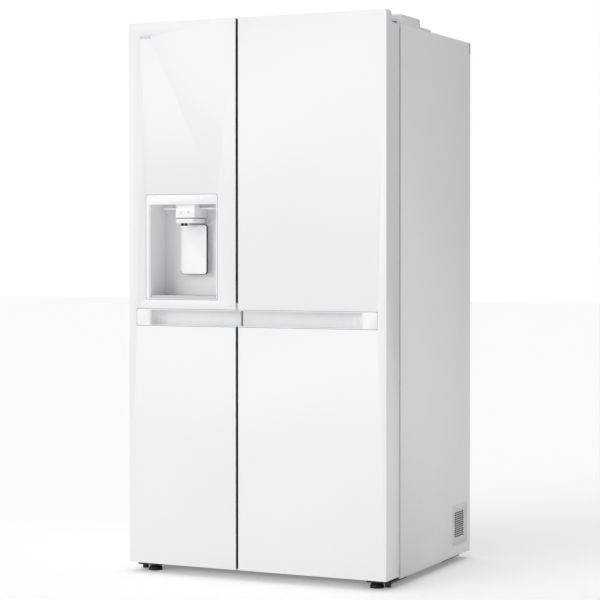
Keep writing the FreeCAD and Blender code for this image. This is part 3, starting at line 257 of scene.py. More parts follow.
def formed_liner():
    """Vacuum-formed polystyrene sheet: satin white with slow drawing waves."""
    material, tree, shader = new_material("formed_polystyrene_liner", {
        "Roughness": 0.30, "IOR": 1.59, "Subsurface Weight": 0.12, "Subsurface Scale": 2.0 * MM})
    at = object_pattern(tree, SHEET_WAVE)
    wave = add_node(tree, "ShaderNodeTexNoise", {"Scale": 1.0, "Detail": 1.0},
                    {"Vector": at.outputs["Vector"]})
    fine = add_node(tree, "ShaderNodeTexNoise", {"Scale": 22.0, "Detail": 2.0},
                    {"Vector": at.outputs["Vector"]})
    vary_colour(tree, shader, wave.outputs["Fac"], "#f0f2f4", "#f5f6f7")
    vary_roughness(tree, shader, fine.outputs["Fac"], 0.26, 0.38)
    add_bump(tree, shader, wave.outputs["Fac"], 0.12, 0.4 * MM)
    return material


def clear_polystyrene(name, tint, rough):
    """Transparent moulding: polystyrene's IOR of 1.59 with a faint tint."""
    material, tree, shader = new_material(name, {
        "Base Color": colour(tint), "Roughness": rough, "IOR": 1.59, "Transmission Weight": 0.92})
    at = object_pattern(tree, 12.0 * MM)
    flow = add_node(tree, "ShaderNodeTexNoise", {"Scale": 1.0, "Detail": 1.0},
                    {"Vector": at.outputs["Vector"]})
    vary_roughness(tree, shader, flow.outputs["Fac"], rough, rough + 0.05)
    add_bump(tree, shader, flow.outputs["Fac"], 0.06, 0.2 * MM)
    return material


def shelf_glass():
    """Tempered soda-lime glass: IOR 1.52, faint green from the iron in it."""
    material, tree, shader = new_material("tempered_shelf_glass", {
        "Base Color": colour("#e6f4ef"), "Roughness": 0.03, "IOR": 1.52, "Transmission Weight": 0.96})
    at = object_pattern(tree, 60.0 * MM)
    smear = add_node(tree, "ShaderNodeTexNoise", {"Scale": 1.0, "Detail": 3.0},
                     {"Vector": at.outputs["Vector"]})
    vary_roughness(tree, shader, smear.outputs["Fac"], 0.02, 0.06)
    return material


WHITE_ABS = moulded_abs("white_moulded_abs", "#f4f4f6", "#f7f7f9", 0.30)
HANDLE_ABS = moulded_abs("handle_moulded_abs", "#f2f2f4", "#f5f5f7", 0.36)
CAP_PLASTIC = moulded_abs("door_cap_polypropylene", "#b4b6b9", "#bbbdc0", 0.45)
COVER_PLASTIC = moulded_abs("hinge_cover_polypropylene", "#e6e7e9", "#ebecee", 0.42)
GRILLE_PLASTIC = moulded_abs("vent_grille_polypropylene", "#dcdde0", "#e3e4e6", 0.46)
TRAY_PLASTIC = moulded_abs("drip_tray_abs", "#c9cacd", "#d0d1d4", 0.36)
HEAD_ABS = moulded_abs("dispenser_head_abs", "#f6f6f8", "#fafafb", 0.16, 0.01)
ICON_INK = moulded_abs("grey_pad_print", "#8b8d91", "#939599", 0.5, 0.01)
BLACK_PLASTIC = moulded_abs("black_polypropylene", "#121314", "#1b1c1d", 0.42)
BLACK_RUBBER = moulded_abs("black_rubber", "#0c0c0d", "#161617", 0.68, 0.08)
GASKET_VINYL = moulded_abs("grey_gasket_vinyl", "#a2a4a6", "#abadaf", 0.55, 0.04)
FOAM = moulded_abs("rigid_polyurethane_foam", "#e3d49f", "#d3c186", 0.85, 0.3)
LINER = formed_liner()
CLEAR = clear_polystyrene("clear_polystyrene", "#f0f8fc", 0.05)
ICE_CLEAR = clear_polystyrene("frosted_polystyrene", "#eef4f8", 0.22)
GLASS = shelf_glass()
print("plastics and glass:", len(bpy.data.materials), "materials so far")

# %% [markdown]
# ## Bare metals
#
# Metals keep the default IOR and take their colour from the base colour. Zinc plating is a pale grey
# with a brushed direction left by rolling, and aluminium fins are brighter and smoother. The stretch of
# the noise along one axis draws the rolling direction.

# %% Metal materials
def worked_metal(name, first, second, rough, stretch):
    """Metal with a grain drawn out along one axis by rolling."""
    material, tree, shader = new_material(name, {"Metallic": 1.0, "Roughness": rough})
    at = object_pattern(tree, 0.8 * MM, stretch)
    grain = add_node(tree, "ShaderNodeTexNoise", {"Scale": 1.0, "Detail": 3.0},
                     {"Vector": at.outputs["Vector"]})
    vary_colour(tree, shader, grain.outputs["Fac"], first, second)
    vary_roughness(tree, shader, grain.outputs["Fac"], rough - 0.08, rough + 0.10)
    add_bump(tree, shader, grain.outputs["Fac"], 0.15, 0.02 * MM)
    return material


ZINC_STEEL = worked_metal("zinc_plated_steel", "#a7a9ac", "#bfc1c4", 0.32, (1, 18, 1))
FIN_ALUMINIUM = worked_metal("fin_aluminium", "#c4c7ca", "#d6d8da", 0.30, (1, 1, 14))
print("metals:", ZINC_STEEL.name, FIN_ALUMINIUM.name)

# %% [markdown]
# ## From CAD node to finished piece
#
# A CAD node arrives as loose triangles with knife-sharp edges. No real edge is that sharp: sheet steel
# has a bend radius, a moulding has a tool radius, and that thin rounded line is what catches the
# light. So each node that the eye can reach is copied, its doubled points are merged, its flat
# triangles are joined back into whole faces, and a Bevel modifier rounds the edges. The copy then
# replaces the node and rides on the same body.
#
# The alternative, a bevel in the shader, makes the same highlight but leaves a sharp outline, and the
# mesh itself would keep its sharp edges.

# %% Refine a CAD node
BODY_OF = {n: body for body, group in frame["record"]["behaviour"]["bodies"].items() for n in group}
SLOT_OF = {part["node"]: part["material_slot"] for part in frame["record"]["subparts"]}


def merged_copy(node):
    """Mesh of a node with doubles merged and flat triangles joined."""
    mesh = nodes[node].data.copy()
    work = bmesh.new()
    work.from_mesh(mesh)
    bmesh.ops.remove_doubles(work, verts=work.verts, dist=0.004 * MM)
    bmesh.ops.dissolve_limit(work, angle_limit=math.radians(0.6), verts=work.verts, edges=work.edges)
    for face in work.faces:
        face.smooth = True
    work.to_mesh(mesh)
    work.free()
    return mesh


def add_bevel(piece, radius, segments=2, angle=32):
    bevel = piece.modifiers.new("rounded_edges", "BEVEL")
    bevel.width = radius
    bevel.segments = segments
    bevel.limit_method = "ANGLE"
    bevel.angle_limit = math.radians(angle)
    bevel.harden_normals = True
    bevel.miter_outer = "MITER_ARC"
    return bevel


def place(name, mesh, material, body, slot_name):
    """A finished piece: an object at the origin with one material, riding on a body."""
    piece = bpy.data.objects.new(name, mesh)
    scene.collection.objects.link(piece)
    mesh.materials.clear()
    mesh.materials.append(material)
    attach(piece, body)
    return piece


def refine(node, material, radius):
    """Replaces a node by a copy with rounded edges and a real finish."""
    mesh = merged_copy(node)
    piece = place(node + "_finished", mesh, material, BODY_OF[node], SLOT_OF[node])
    if radius:
        add_bevel(piece, radius)
    else:
        mesh.set_sharp_from_angle(angle=math.radians(32))
    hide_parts(node)
    return piece


def dress(node, material):
    """Gives a node that stays as CAD made it a real finish."""
    nodes[node].data.materials.clear()
    nodes[node].data.materials.append(material)


# %% [markdown]
# ## Which node gets which finish
#
# The table below is the paint shop's list. Each row names the finish, the edge radius in millimetres
# and the nodes that share them. A folded sheet edge is about 0.3 mm, a trim moulding about 0.6 mm, a
# vacuum-formed liner is rounder because the sheet can't follow a sharp corner.
#
# Perforated plates keep their CAD mesh and only get a finish: a flat face with dozens of holes can't be
# joined into one polygon, and its slots are too small for a rounded edge to show. The door liners keep
# theirs as well, because their corners are already round.

# %% Finish the nodes
FINISHES = [
    (DOOR_ENAMEL, 0.35, ["freezer_door_skin", "fridge_door_skin"]),
    (SIDE_PAINT, 0.35, ["side_panel_left", "side_panel_right", "top_panel"]),
    (TRIM_PAINT, 0.3, ["front_trim"]),
    (GALVANISED, 0.3, ["back_panel"]),
    (BLACK_STEEL, 0.6, ["base_frame", "bottom_hinge_left", "bottom_hinge_right"]),
    (LINER, 1.2, ["freezer_liner", "fridge_liner"]),
    (WHITE_ABS, 0.8, ["freezer_shelf_frames", "fridge_shelf_frames"]),
    (GLASS, 0.5, ["freezer_shelf_glass", "fridge_shelf_glass"]),
    (ZINC_STEEL, 0.5, ["top_hinge_left", "top_hinge_right"]),
    (COVER_PLASTIC, 0.8, ["hinge_cover_left", "hinge_cover_right"]),
    (CAP_PLASTIC, 0.8, ["freezer_door_caps", "fridge_door_caps"]),
    (GASKET_VINYL, 1.0, ["freezer_door_gasket", "fridge_door_gasket"]),
    (HANDLE_ABS, 0.8, ["freezer_handle", "fridge_handle"]),
    (WHITE_ABS, 0.8, ["dispenser_bezel", "dispenser_housing"]),
    (HEAD_ABS, 0.7, ["dispenser_head"]),
    (HEAD_ABS, 0.8, ["dispenser_paddle"]),
    (BLACK_PLASTIC, 0.3, ["chute_flap"]),
    (ICE_CLEAR, 1.0, ["ice_maker"]),
    (CLEAR, 0.9, ["freezer_drawer_lower", "freezer_drawer_upper", "crisper_lower", "crisper_upper"]),
    (CLEAR, 0.9, ["freezer_door_basket_lower", "freezer_door_basket_upper", "fridge_door_basket_lower",
                  "fridge_door_basket_middle", "fridge_door_basket_upper"]),
    (BLACK_STEEL, 0.5, ["compressor"]),
    (FIN_ALUMINIUM, 0.0, ["evaporator", "condenser"]),
    (BLACK_PLASTIC, 0.4, ["condenser_fan", "rear_roller_left", "rear_roller_right"]),
    (BLACK_RUBBER, 0.8, ["front_foot_left", "front_foot_right"]),
]
finished = {}
for material, radius, names in FINISHES:
    for node in names:
        finished[node] = refine(node, material, radius * MM)
PERFORATED = [(GRILLE_PLASTIC, "side_vent_grille"), (GALVANISED, "machine_room_cover"),
              (TRAY_PLASTIC, "drip_tray"), (LINER, "freezer_duct_panel"), (LINER, "fridge_duct_panel")]
FORMED = [(LINER, "freezer_door_liner"), (LINER, "fridge_door_liner")]
FOAMED = [(FOAM, "insulation_foam"), (FOAM, "freezer_door_foam"), (FOAM, "fridge_door_foam")]
for material, node in PERFORATED + FORMED + FOAMED:
    dress(node, material)
print("refined", len(finished), "nodes")

# %% [markdown]
# ## Screws from a node tree
#
# The machine room cover and the hinges are held by pan head screws. All screws are one shape, so one
# node tree makes the head, cuts its cross recess and sets a copy on each point. The tree's inputs are
# the sizes a fastener table would give. Its last nodes realise the copies and set the material, and
# the result is read back as a plain mesh.

# %% Node tree helpers
def new_tree(name, inputs):
    """A geometry tree with a Geometry input, then one float input for each named size."""
    tree = bpy.data.node_groups.new(name, "GeometryNodeTree")
    tree.interface.new_socket("Geometry", in_out="INPUT", socket_type="NodeSocketGeometry")
    tree.interface.new_socket("Geometry", in_out="OUTPUT", socket_type="NodeSocketGeometry")
    for key, value in inputs.items():
        kind = "NodeSocketInt" if isinstance(value, int) else "NodeSocketFloat"
        tree.interface.new_socket(key, in_out="INPUT", socket_type=kind)
    entry = tree.nodes.new("NodeGroupInput")
    leave = tree.nodes.new("NodeGroupOutput")
    return tree, entry, leave


def finish_tree(tree, leave, geometry, material):
    """Ends a tree: realise the copies, set the material, send them out."""
    real = add_node(tree, "GeometryNodeRealizeInstances", {}, {"Geometry": geometry})
    paint = add_node(tree, "GeometryNodeSetMaterial", {}, {"Geometry": real.outputs["Geometry"]})
    paint.inputs["Material"].default_value = material
    tree.links.new(paint.outputs["Geometry"], leave.inputs["Geometry"])


def grown(name, seed_mesh, tree, sizes, material, body, slot_name):
    """Runs a tree on seed_mesh with its sizes, and returns the result as a plain finished piece."""
    carrier = bpy.data.objects.new(name + "_seed", seed_mesh)
    scene.collection.objects.link(carrier)
    modifier = carrier.modifiers.new("grow", "NODES")
    modifier.node_group = tree
    for item in tree.interface.items_tree:
        if item.item_type == "SOCKET" and item.in_out == "INPUT" and item.name in sizes:
            modifier[item.identifier] = sizes[item.name]
    bpy.context.view_layer.update()
    graph = bpy.context.evaluated_depsgraph_get()
    mesh = bpy.data.meshes.new_from_object(carrier.evaluated_get(graph))
    bpy.data.objects.remove(carrier)
    return place(name, mesh, material, body, slot_name)


def points_mesh(name, places, normals):
    """Loose points with the direction each copy faces."""
    mesh = bpy.data.meshes.new(name)
    mesh.from_pydata([tuple(p) for p in places], [], [])
    facing = mesh.attributes.new("facing", "FLOAT_VECTOR", "POINT")
    for i, normal in enumerate(normals):
        facing.data[i].vector = normal
    return mesh


print("tree helpers ready")

# %% Screw heads
def screw_tree(material):
    """A cross-recessed pan head on every point, turned to face the point's own direction."""
    sizes = {"Head Radius": 3.6 * MM, "Head Height": 1.8 * MM, "Recess Length": 4.0 * MM,
             "Recess Width": 0.9 * MM}
    tree, entry, leave = new_tree("pan_head_screws", sizes)
    head = add_node(tree, "GeometryNodeMeshCylinder", {"Vertices": 24},
                    {"Radius": entry.outputs["Head Radius"], "Depth": entry.outputs["Head Height"]})
    recesses = []
    for length, width in (("Recess Length", "Recess Width"), ("Recess Width", "Recess Length")):
        size = add_node(tree, "ShaderNodeCombineXYZ", {},
                        {"X": entry.outputs[length], "Y": entry.outputs[width],
                         "Z": entry.outputs["Head Height"]})
        bar = add_node(tree, "GeometryNodeMeshCube", {}, {"Size": size.outputs["Vector"]})
        half = add_node(tree, "ShaderNodeVectorMath", {"operation": "MULTIPLY", 1: (0, 0, 0.45)},
                        {0: size.outputs["Vector"]})
        recesses.append(add_node(tree, "GeometryNodeTransform", {},
                                 {"Geometry": bar.outputs["Mesh"], "Translation": half.outputs["Vector"]}))
    cut = add_node(tree, "GeometryNodeMeshBoolean", {"operation": "DIFFERENCE", "solver": "EXACT"},
                   {"Mesh 1": head.outputs["Mesh"]})
    for bar in recesses:
        tree.links.new(bar.outputs["Geometry"], cut.inputs["Mesh 2"])
    facing = add_node(tree, "GeometryNodeInputNamedAttribute",
                      {"data_type": "FLOAT_VECTOR", "Name": "facing"})
    turn = add_node(tree, "FunctionNodeAlignEulerToVector", {"axis": "Z"},
                    {"Vector": facing.outputs["Attribute"]})
    copies = add_node(tree, "GeometryNodeInstanceOnPoints", {},
                      {"Points": entry.outputs["Geometry"], "Instance": cut.outputs["Mesh"],
                       "Rotation": turn.outputs["Rotation"]})
    finish_tree(tree, leave, copies.outputs["Instances"], material)
    return tree, sizes


def screw_places(node):
    """Lowest and highest corner of each separate solid in a node of screws."""
    work = bmesh.new()
    work.from_mesh(nodes[node].data)
    bmesh.ops.remove_doubles(work, verts=work.verts, dist=0.004 * MM)
    todo = set(work.verts)
    found = []
    while todo:
        island, edge = set(), [todo.pop()]
        while edge:
            vert = edge.pop()
            island.add(vert)
            for link in vert.link_edges:
                other = link.other_vert(vert)
                if other in todo:
                    todo.discard(other)
                    edge.append(other)
        low = Vector([min(v.co[i] for v in island) for i in range(3)])
        high = Vector([max(v.co[i] for v in island) for i in range(3)])
        found.append((low, high))
    work.free()
    return found


TOP_LEVEL = 0.9 * cad_high.z    # screws above this hold the top hinges and face up
tree, sizes = screw_tree(ZINC_STEEL)
head_half = sizes["Head Height"] / 2
heads, ways = [], []
for low, high in screw_places("cabinet_screws"):
    middle = (low + high) / 2
    faces_up = middle.z > TOP_LEVEL
    way = Vector((0, 0, 1)) if faces_up else Vector((0, 1, 0))
    top = Vector((middle.x, middle.y, high.z)) if faces_up else Vector((middle.x, high.y, middle.z))
    heads.append(top - way * head_half)
    ways.append(way)
screws = grown("pan_head_screws", points_mesh("screw_places", heads, ways), tree, sizes,
               ZINC_STEEL, "cabinet", "zinc_steel")
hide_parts("cabinet_screws")
print("screws", len(heads), "faces", len(screws.data.polygons))

# %% [markdown]
# ## Seams and shadow gaps
#
# On a white object the dark lines do the drawing. Three kinds matter here. Between the doors there is
# an 8 mm gap, and dark grey plates on its walls paint the shade deep in that gap. Round each insert a grey
# strip sits in the bottom of a narrow gap and paints that gap's shadow. And a small blank badge plate
# fills its pocket.
#
# All of them are strips between two outlines, so one helper closes any pair of outlines into a solid.

# %% Outline helpers
def rounded_outline(u0, u1, v0, v1, radius, steps=5):
    """Points of a rectangle with round corners, anticlockwise."""
    points = []
    for cu, cv, start in ((u1, v0, -90), (u1, v1, 0), (u0, v1, 90), (u0, v0, 180)):
        cu += radius if cu == u0 else -radius
        cv += radius if cv == v0 else -radius
        for i in range(steps + 1):
            angle = math.radians(start + 90 * i / steps)
            points.append((cu + radius * math.cos(angle), cv + radius * math.sin(angle)))
    return points


AXES = {"x": lambda u, v, w: (w, u, v), "y": lambda u, v, w: (u, w, v), "z": lambda u, v, w: (u, v, w)}


def plate_mesh(name, outline, axis, low, high):
    """A flat plate with a given outline, from low to high along an axis."""
    at = AXES[axis]
    work = bmesh.new()
    near = [work.verts.new(at(u, v, low)) for u, v in outline]
    far = [work.verts.new(at(u, v, high)) for u, v in outline]
    work.faces.new(near)
    work.faces.new(far[::-1])
    for i in range(len(outline)):
        j = (i + 1) % len(outline)
        work.faces.new((near[i], near[j], far[j], far[i]))
    return close_mesh(name, work)


def strip_mesh(name, outer, inner, axis, low, high, closed=True):
    """A band between two outlines with the same number of points."""
    at = AXES[axis]
    work = bmesh.new()
    rings = [[work.verts.new(at(u, v, w)) for u, v in line]
             for line, w in ((outer, low), (outer, high), (inner, high), (inner, low))]
    count = len(outer)
    for i in range(count if closed else count - 1):
        j = (i + 1) % count
        for k in range(4):
            a, b = rings[k], rings[(k + 1) % 4]
            work.faces.new((a[i], a[j], b[j], b[i]))
    if not closed:
        work.faces.new([ring[0] for ring in rings])
        work.faces.new([ring[-1] for ring in rings][::-1])
    return close_mesh(name, work)


def close_mesh(name, work):
    """Turns all faces outwards and hands the mesh over."""
    bmesh.ops.recalc_face_normals(work, faces=work.faces)
    mesh = bpy.data.meshes.new(name)
    work.to_mesh(mesh)
    work.free()
    return mesh


# Dark grey that paints shade: deep in the gap between the doors, in the groove under the nozzle housing
# and in the gap round the paddle.
PAINTED_SHADE_GREY = moulded_abs("painted_shade_dark_grey", "#2c2d2f", "#333436", 0.55)
# Grey that paints the shadow in the narrow gaps round the dispenser and the handle inserts.
SHADOW_GAP_GREY = moulded_abs("grey_sealing_bead", "#4a4c4f", "#545659", 0.62)
BADGE_METAL = worked_metal("brushed_badge_metal", "#8f9194", "#a5a7aa", 0.34, (16, 1, 1))
print("outline helpers ready")

# %% Gap trims, sealing beads and badge
def at_box(node):
    """Lowest and highest corner of a node."""
    low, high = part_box(node)
    return Vector(low), Vector(high)


skin_low, skin_high = at_box("freezer_door_skin")
fridge_low = at_box("fridge_door_skin")[0]
grip_low, grip_high = at_box("freezer_handle")
FACE = skin_low.y           # plane of the door fronts
DOOR_BACK = skin_high.y
SHADE_PLATE_THICK = 0.4 * MM
GAP = 1.2 * MM              # shadow gap round the inserts
LIP_DEPTH = 42.5 * MM       # front lip above the stepped top edge of a door
LEDGE_DROP = 34.0 * MM      # from the lip down to the ledge behind it
LIP_ROUND = 17.0 * MM       # rounding of the lip's back edge
INSERT_HEIGHT = 53.5 * MM   # height of a handle insert's opening


def gap_shade_plates(name, side_x, outward, body):
    """Two dark plates on a door's inner side, above and below the handle: painted shade of the deep gap
    between the doors.
    """
    inset, clear = 3.0 * MM, 1.5 * MM
    front_y, back_y = FACE + inset, DOOR_BACK - inset
    lip_y = FACE + LIP_DEPTH - inset / 2
    ledge_z = skin_high.z - LEDGE_DROP - inset / 2
    top = skin_high.z - inset
    above, under, foot = grip_high.z + clear, grip_low.z - clear, skin_low.z + inset
    upper = [(front_y, above), (back_y, above), (back_y, ledge_z), (lip_y, ledge_z),
             (lip_y, top - LIP_ROUND + inset), (lip_y - LIP_ROUND + inset, top), (front_y, top)]
    lower = [(front_y, foot), (back_y, foot), (back_y, under), (front_y, under)]
    for part, outline in (("upper", upper), ("lower", lower)):
        span = sorted((side_x, side_x + outward * SHADE_PLATE_THICK))
        mesh = plate_mesh(name + part, outline, "x", *span)
        place(name + "_" + part, mesh, PAINTED_SHADE_GREY, body, "black_plastic")


# Dark plates on both door sides of the gap paint the shade deep inside it.
gap_shade_plates("freezer_gap_painted_shade", skin_high.x, 1, "freezer_door")
gap_shade_plates("fridge_gap_painted_shade", fridge_low.x, -1, "fridge_door")

bezel_low, bezel_high = at_box("dispenser_bezel")
SHADOW_GAP_SPAN = (FACE + 0.25 * MM, FACE + 0.9 * MM)  # front and back of the grey strip that paints the gap's shadow
AIR = 0.1 * MM              # clearance that keeps a shadow strip off both sides of its gap


def frame_outlines(low, high, radius):
    """Outer and inner line of the gap round a rectangular insert."""
    return [rounded_outline(low.x - off, high.x + off, low.z - off, high.z + off, radius)
            for off in (GAP - AIR, AIR)]


# A grey strip in the bottom of the gap round the dispenser bezel paints that gap's shadow.
outer, inner = frame_outlines(bezel_low, bezel_high, 5.0 * MM)
place("dispenser_bead", strip_mesh("dispenser_bead", outer, inner, "y", *SHADOW_GAP_SPAN), SHADOW_GAP_GREY, "freezer_door",
      "gasket_grey")


def handle_shadow_gap(node, body, free_side):
    """Grey strip painting the shadow gap round the three closed sides of a handle insert, open towards the
    gap between the doors.
    """
    low, high = at_box(node)
    top = low.z + INSERT_HEIGHT
    free = high.x if free_side > 0 else low.x
    closed = low.x if free_side > 0 else high.x
    lines = []
    for off in (GAP - AIR, AIR):
        edge = closed - free_side * off
        lines.append([(free, top + off), (edge, top + off), (edge, low.z - off), (free, low.z - off)])
    mesh = strip_mesh(node + "_bead", lines[0], lines[1], "y", *SHADOW_GAP_SPAN, closed=False)
    return place(node + "_bead", mesh, SHADOW_GAP_GREY, body, "gasket_grey")


# Grey strips in the gaps round the handle inserts paint their shadow.
handle_shadow_gap("freezer_handle", "freezer_door", 1)
handle_shadow_gap("fridge_handle", "fridge_door", -1)

BADGE_WIDTH, BADGE_HEIGHT = 40.0 * MM, 9.0 * MM
BADGE_IN, BADGE_DROP = 42.5 * MM, 42.5 * MM     # from the door's left edge and from its top
BADGE_ROUND = 1.9 * MM


def blank_badge():
    """Plain metal plate in its pocket near the top of the freezer door."""
    left, top = skin_low.x + BADGE_IN, skin_high.z - BADGE_DROP
    right, bottom = left + BADGE_WIDTH, top - BADGE_HEIGHT
    line = rounded_outline(left + AIR, right - AIR, bottom + AIR, top - AIR, BADGE_ROUND)
    mesh = plate_mesh("blank_badge", line, "y", FACE + 0.02 * MM, FACE + 0.5 * MM)
    piece = place("blank_badge", mesh, BADGE_METAL, "freezer_door", "zinc_steel")
    add_bevel(piece, 0.12 * MM)


blank_badge()
print("gap", round((fridge_low.x - skin_high.x) / MM, 2), "mm between the doors")

# %% [markdown]
# ## Small parts of the dispenser
#
# The dispenser is where a hand goes, so it is looked at closely. The nozzle housing is split from its
# collar by a groove, and a dark ring in that groove paints its shade. The two water nozzles have black
# rubber tips, and a dark band round the paddle paints the shade of the gap round it. Two pad-printed
# pictures, a tumbler and an ice cube, tell water from ice. A pale lamp bar crosses the ceiling of the
# recess.

# %% Dispenser details
head_low, head_high = at_box("dispenser_head")
paddle_low, paddle_high = at_box("dispenser_paddle")
room_low, room_high = at_box("dispenser_housing")
HEAD_HEIGHT = 43.4 * MM     # nozzle housing above its collar
split_z = head_high.z - HEAD_HEIGHT
middle_x = (head_low.x + head_high.x) / 2


def box_line(low, high, grow, radius):
    """Round-cornered outline of a box seen from above, grown on every side."""
    return rounded_outline(low.x - grow, high.x + grow, low.y - grow, high.y + grow, radius)


def groove_shade_ring():
    """Dark ring in the joint between nozzle housing and collar: painted shade of the groove."""
    far = Vector((0, 0.5 * MM, 0))
    outer = box_line(head_low + far, head_high - far, -0.8 * MM, 11.0 * MM)
    inner = box_line(head_low + far, head_high - far, -4.0 * MM, 8.0 * MM)
    mesh = strip_mesh("groove_shade_ring", outer, inner, "z", split_z - 2.2 * MM, split_z - 0.1 * MM)
    place("head_groove_painted_shade", mesh, PAINTED_SHADE_GREY, "freezer_door", "black_plastic")


def nozzle_tip(name, x):
    """Rubber tip over the end of a water nozzle, turned on a lathe profile."""
    y = head_low.y + 14.0 * MM
    low = head_low.z - 3.6 * MM
    profile = [(2.6, 0.3), (4.6, 0.0), (5.2, 0.6), (5.2, 7.4),
               (4.6, 8.2), (4.1, 8.2), (4.1, 3.4), (2.6, 3.4)]
    steps = 28
    work = bmesh.new()
    rings = []
    for i in range(steps):
        angle = 2 * math.pi * i / steps
        along, across = MM * math.cos(angle), MM * math.sin(angle)
        rings.append([work.verts.new((x + r * along, y + r * across, low + z * MM)) for r, z in profile])
    for i in range(steps):
        a, b = rings[i], rings[(i + 1) % steps]
        for k in range(len(profile)):
            m = (k + 1) % len(profile)
            work.faces.new((a[k], b[k], b[m], a[m]))
    mesh = close_mesh(name, work)
    mesh.polygons.foreach_set("use_smooth", [True] * len(mesh.polygons))
    mesh.set_sharp_from_angle(angle=math.radians(40))
    place(name, mesh, BLACK_RUBBER, "freezer_door", "black_rubber")


def paddle_shade_band():
    """Dark band round the paddle's sides and lower end, and over its right shoulder: painted shade of the
    gap round the paddle.
    """
    low, high = paddle_low, paddle_high
    thick, deep, radius = 1.6 * MM, 8.0 * MM, 9.0 * MM
    whole = rounded_outline(low.x - thick, high.x + thick, low.z - thick, high.z + thick, radius + thick)
    core = rounded_outline(low.x + AIR, high.x - AIR, low.z + AIR, high.z - AIR, radius - AIR)
    corner = len(whole) // 4
    sides = [line[3 * corner:] + line[:2 * corner] for line in (whole, core)]
    mesh = strip_mesh("paddle_shade_band", *sides, "y", low.y + 0.3 * MM, low.y + deep, closed=False)
    piece = place("paddle_painted_shade", mesh, PAINTED_SHADE_GREY, "paddle", "black_rubber")
    add_bevel(piece, 0.3 * MM)


def ceiling_lamp():
    """Pale bar across the ceiling of the recess, behind the nozzle housing."""
    setback, deep, low_z, tall, radius = 49.5 * MM, 18.0 * MM, split_z + 27.4 * MM, 6.0 * MM, 2.4 * MM
    line = rounded_outline(FACE + setback, FACE + setback + deep, low_z, low_z + tall, radius)
    clear = 0.2 * MM
    spans = {"left": (room_low.x + 24.0 * MM, head_low.x - clear),
             "right": (head_high.x + clear, room_high.x - 4.0 * MM)}
    for name, span in spans.items():
        mesh = plate_mesh("recess_lamp_" + name, line, "x", *span)
        piece = place("recess_lamp_" + name, mesh, HEAD_ABS, "freezer_door", "white_abs")
        add_bevel(piece, 0.5 * MM)


def picture(name, outer, inner, x, z):
    """A small printed outline on the front of the nozzle housing."""
    front = head_low.y
    lines = [[(x + u * MM, z + v * MM) for u, v in line] for line in (outer, inner)]
    mesh = strip_mesh(name, lines[0], lines[1], "y", front - 0.08 * MM, front + 0.05 * MM)
    place(name, mesh, ICON_INK, "freezer_door", "gasket_grey")


# A dark ring in the groove under the nozzle housing paints the groove's shade.
groove_shade_ring()
nozzle_tip("water_nozzle_tip_left", middle_x - 14.0 * MM)
nozzle_tip("water_nozzle_tip_right", middle_x - 1.0 * MM)
# A dark band round the paddle paints the shade of the gap round it.
paddle_shade_band()
ceiling_lamp()
TUMBLER = ([(-2.6, 0), (2.6, 0), (3.8, 9), (-3.8, 9)], [(-1.7, 1.0), (1.7, 1.0), (2.8, 8.0), (-2.8, 8.0)])
CUBE = ([(-3.4, 1.6), (3.4, 1.6), (3.4, 8.4), (-3.4, 8.4)],
        [(-2.2, 2.8), (2.2, 2.8), (2.2, 7.2), (-2.2, 7.2)])
picture("tumbler_picture", *TUMBLER, middle_x - 12.0 * MM, split_z + 12.0 * MM)
picture("ice_cube_picture", *CUBE, middle_x + 15.0 * MM, split_z + 13.0 * MM)
print("paddle", round((paddle_high.x - paddle_low.x) / MM, 1), "mm wide")

# %% [markdown]
# ## Studio and camera
#
# A white appliance is shown on white, so the light has to draw it. The surround is bright on the left
# and darkened on the right, as black flags do in a studio, so the side panel and the walls that face
# right fall a step darker and every edge reads. One large diffuser from the front left lifts the doors.
# The paper floor is lit from below a little, as a light table is, which keeps it white.
#
# The lens is long, as it is for most catalogue pictures, which keeps the tall sides nearly parallel.

# %% Floor, light and camera
def stage_floor():
    """Pale seamless paper with a barely visible tooth."""
    material, tree, shader = new_material("pale_paper_floor", {
        "Roughness": 0.85, "IOR": 1.45, "Emission Color": colour("#ffffff"), "Emission Strength": 0.22})
    at = object_pattern(tree, 4.0 * MM)
    tooth = add_node(tree, "ShaderNodeTexNoise", {"Scale": 1.0, "Detail": 2.0},
                     {"Vector": at.outputs["Vector"]})
    vary_colour(tree, shader, tooth.outputs["Fac"], "#fbfbfb", "#ffffff")
    half = 30.0
    mesh = bpy.data.meshes.new("floor")
    mesh.from_pydata([(-half, -half, 0), (half, -half, 0), (half, half, 0), (-half, half, 0)], [],
                     [(0, 1, 2, 3)])
    floor = bpy.data.objects.new("floor", mesh)
    mesh.materials.append(material)
    scene.collection.objects.link(floor)
    return floor


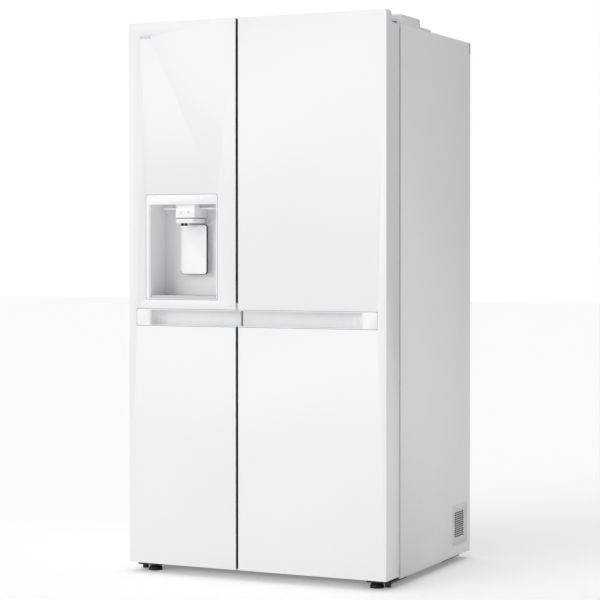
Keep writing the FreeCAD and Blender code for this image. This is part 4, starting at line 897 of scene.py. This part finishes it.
def studio_world(left, right, overhead, seen):
    """Soft light from all round, bright on the left and above, and flagged on the right.

    The backdrop that the lens sees directly stays paper white."""
    world = bpy.data.worlds.new("studio")
    world.use_nodes = True
    tree = world.node_tree
    place = add_node(tree, "ShaderNodeTexCoord")
    axes = add_node(tree, "ShaderNodeSeparateXYZ", {}, {"Vector": place.outputs["Generated"]})
    fall = add_node(tree, "ShaderNodeMapRange",
                    {"From Min": -0.1, "From Max": 0.7, "To Min": left, "To Max": right},
                    {"Value": axes.outputs["X"]})
    rise = add_node(tree, "ShaderNodeMapRange",
                    {"From Min": 0.1, "From Max": 1.0, "To Min": 0.0, "To Max": overhead},
                    {"Value": axes.outputs["Z"]})
    total = add_node(tree, "ShaderNodeMath", {"operation": "ADD"},
                     {0: fall.outputs["Result"], 1: rise.outputs["Result"]})
    surround = tree.nodes["Background"]
    surround.inputs["Color"].default_value = colour("#ffffff")
    tree.links.new(total.outputs["Value"], surround.inputs["Strength"])
    backdrop = add_node(tree, "ShaderNodeBackground", {"Color": colour("#ffffff"), "Strength": seen})
    rays = add_node(tree, "ShaderNodeLightPath")
    pick = add_node(tree, "ShaderNodeMixShader", {}, {"Fac": rays.outputs["Is Camera Ray"],
                                                      1: surround.outputs["Background"],
                                                      2: backdrop.outputs["Background"]})
    tree.links.new(pick.outputs["Shader"], tree.nodes["World Output"].inputs["Surface"])
    scene.world = world


def large_soft_light(name, aim_from, strength, spread):
    """A parallel light as soft as a large diffuser, shining from aim_from to the origin."""
    lamp = bpy.data.lights.new(name, "SUN")
    lamp.energy = strength
    lamp.angle = math.radians(spread)
    holder = bpy.data.objects.new(name, lamp)
    holder.rotation_euler = (-Vector(aim_from)).to_track_quat("-Z", "Y").to_euler()
    scene.collection.objects.link(holder)
    return holder


stage_floor()
studio_world(0.40, 0.15, 0.55, 1.0)
large_soft_light("front_left_diffuser", (-0.50, -0.82, 0.28), 0.95, 40.0)

camera_data = bpy.data.cameras.new("camera")
camera_data.sensor_width = 36.0
camera_data.lens = 112.65
camera_data.shift_x = -0.05
camera_data.shift_y = -0.04
camera_data.clip_end = 100.0
camera = bpy.data.objects.new("camera", camera_data)
camera.location = (2.6993, -5.6723, 1.0543)
camera.rotation_euler = (math.radians(90.0 - 0.81), 0.0, math.radians(24.64))
scene.collection.objects.link(camera)
scene.camera = camera
scene.view_settings.view_transform = "Standard"
print("camera", [round(v, 3) for v in camera.location], "lens", camera_data.lens)
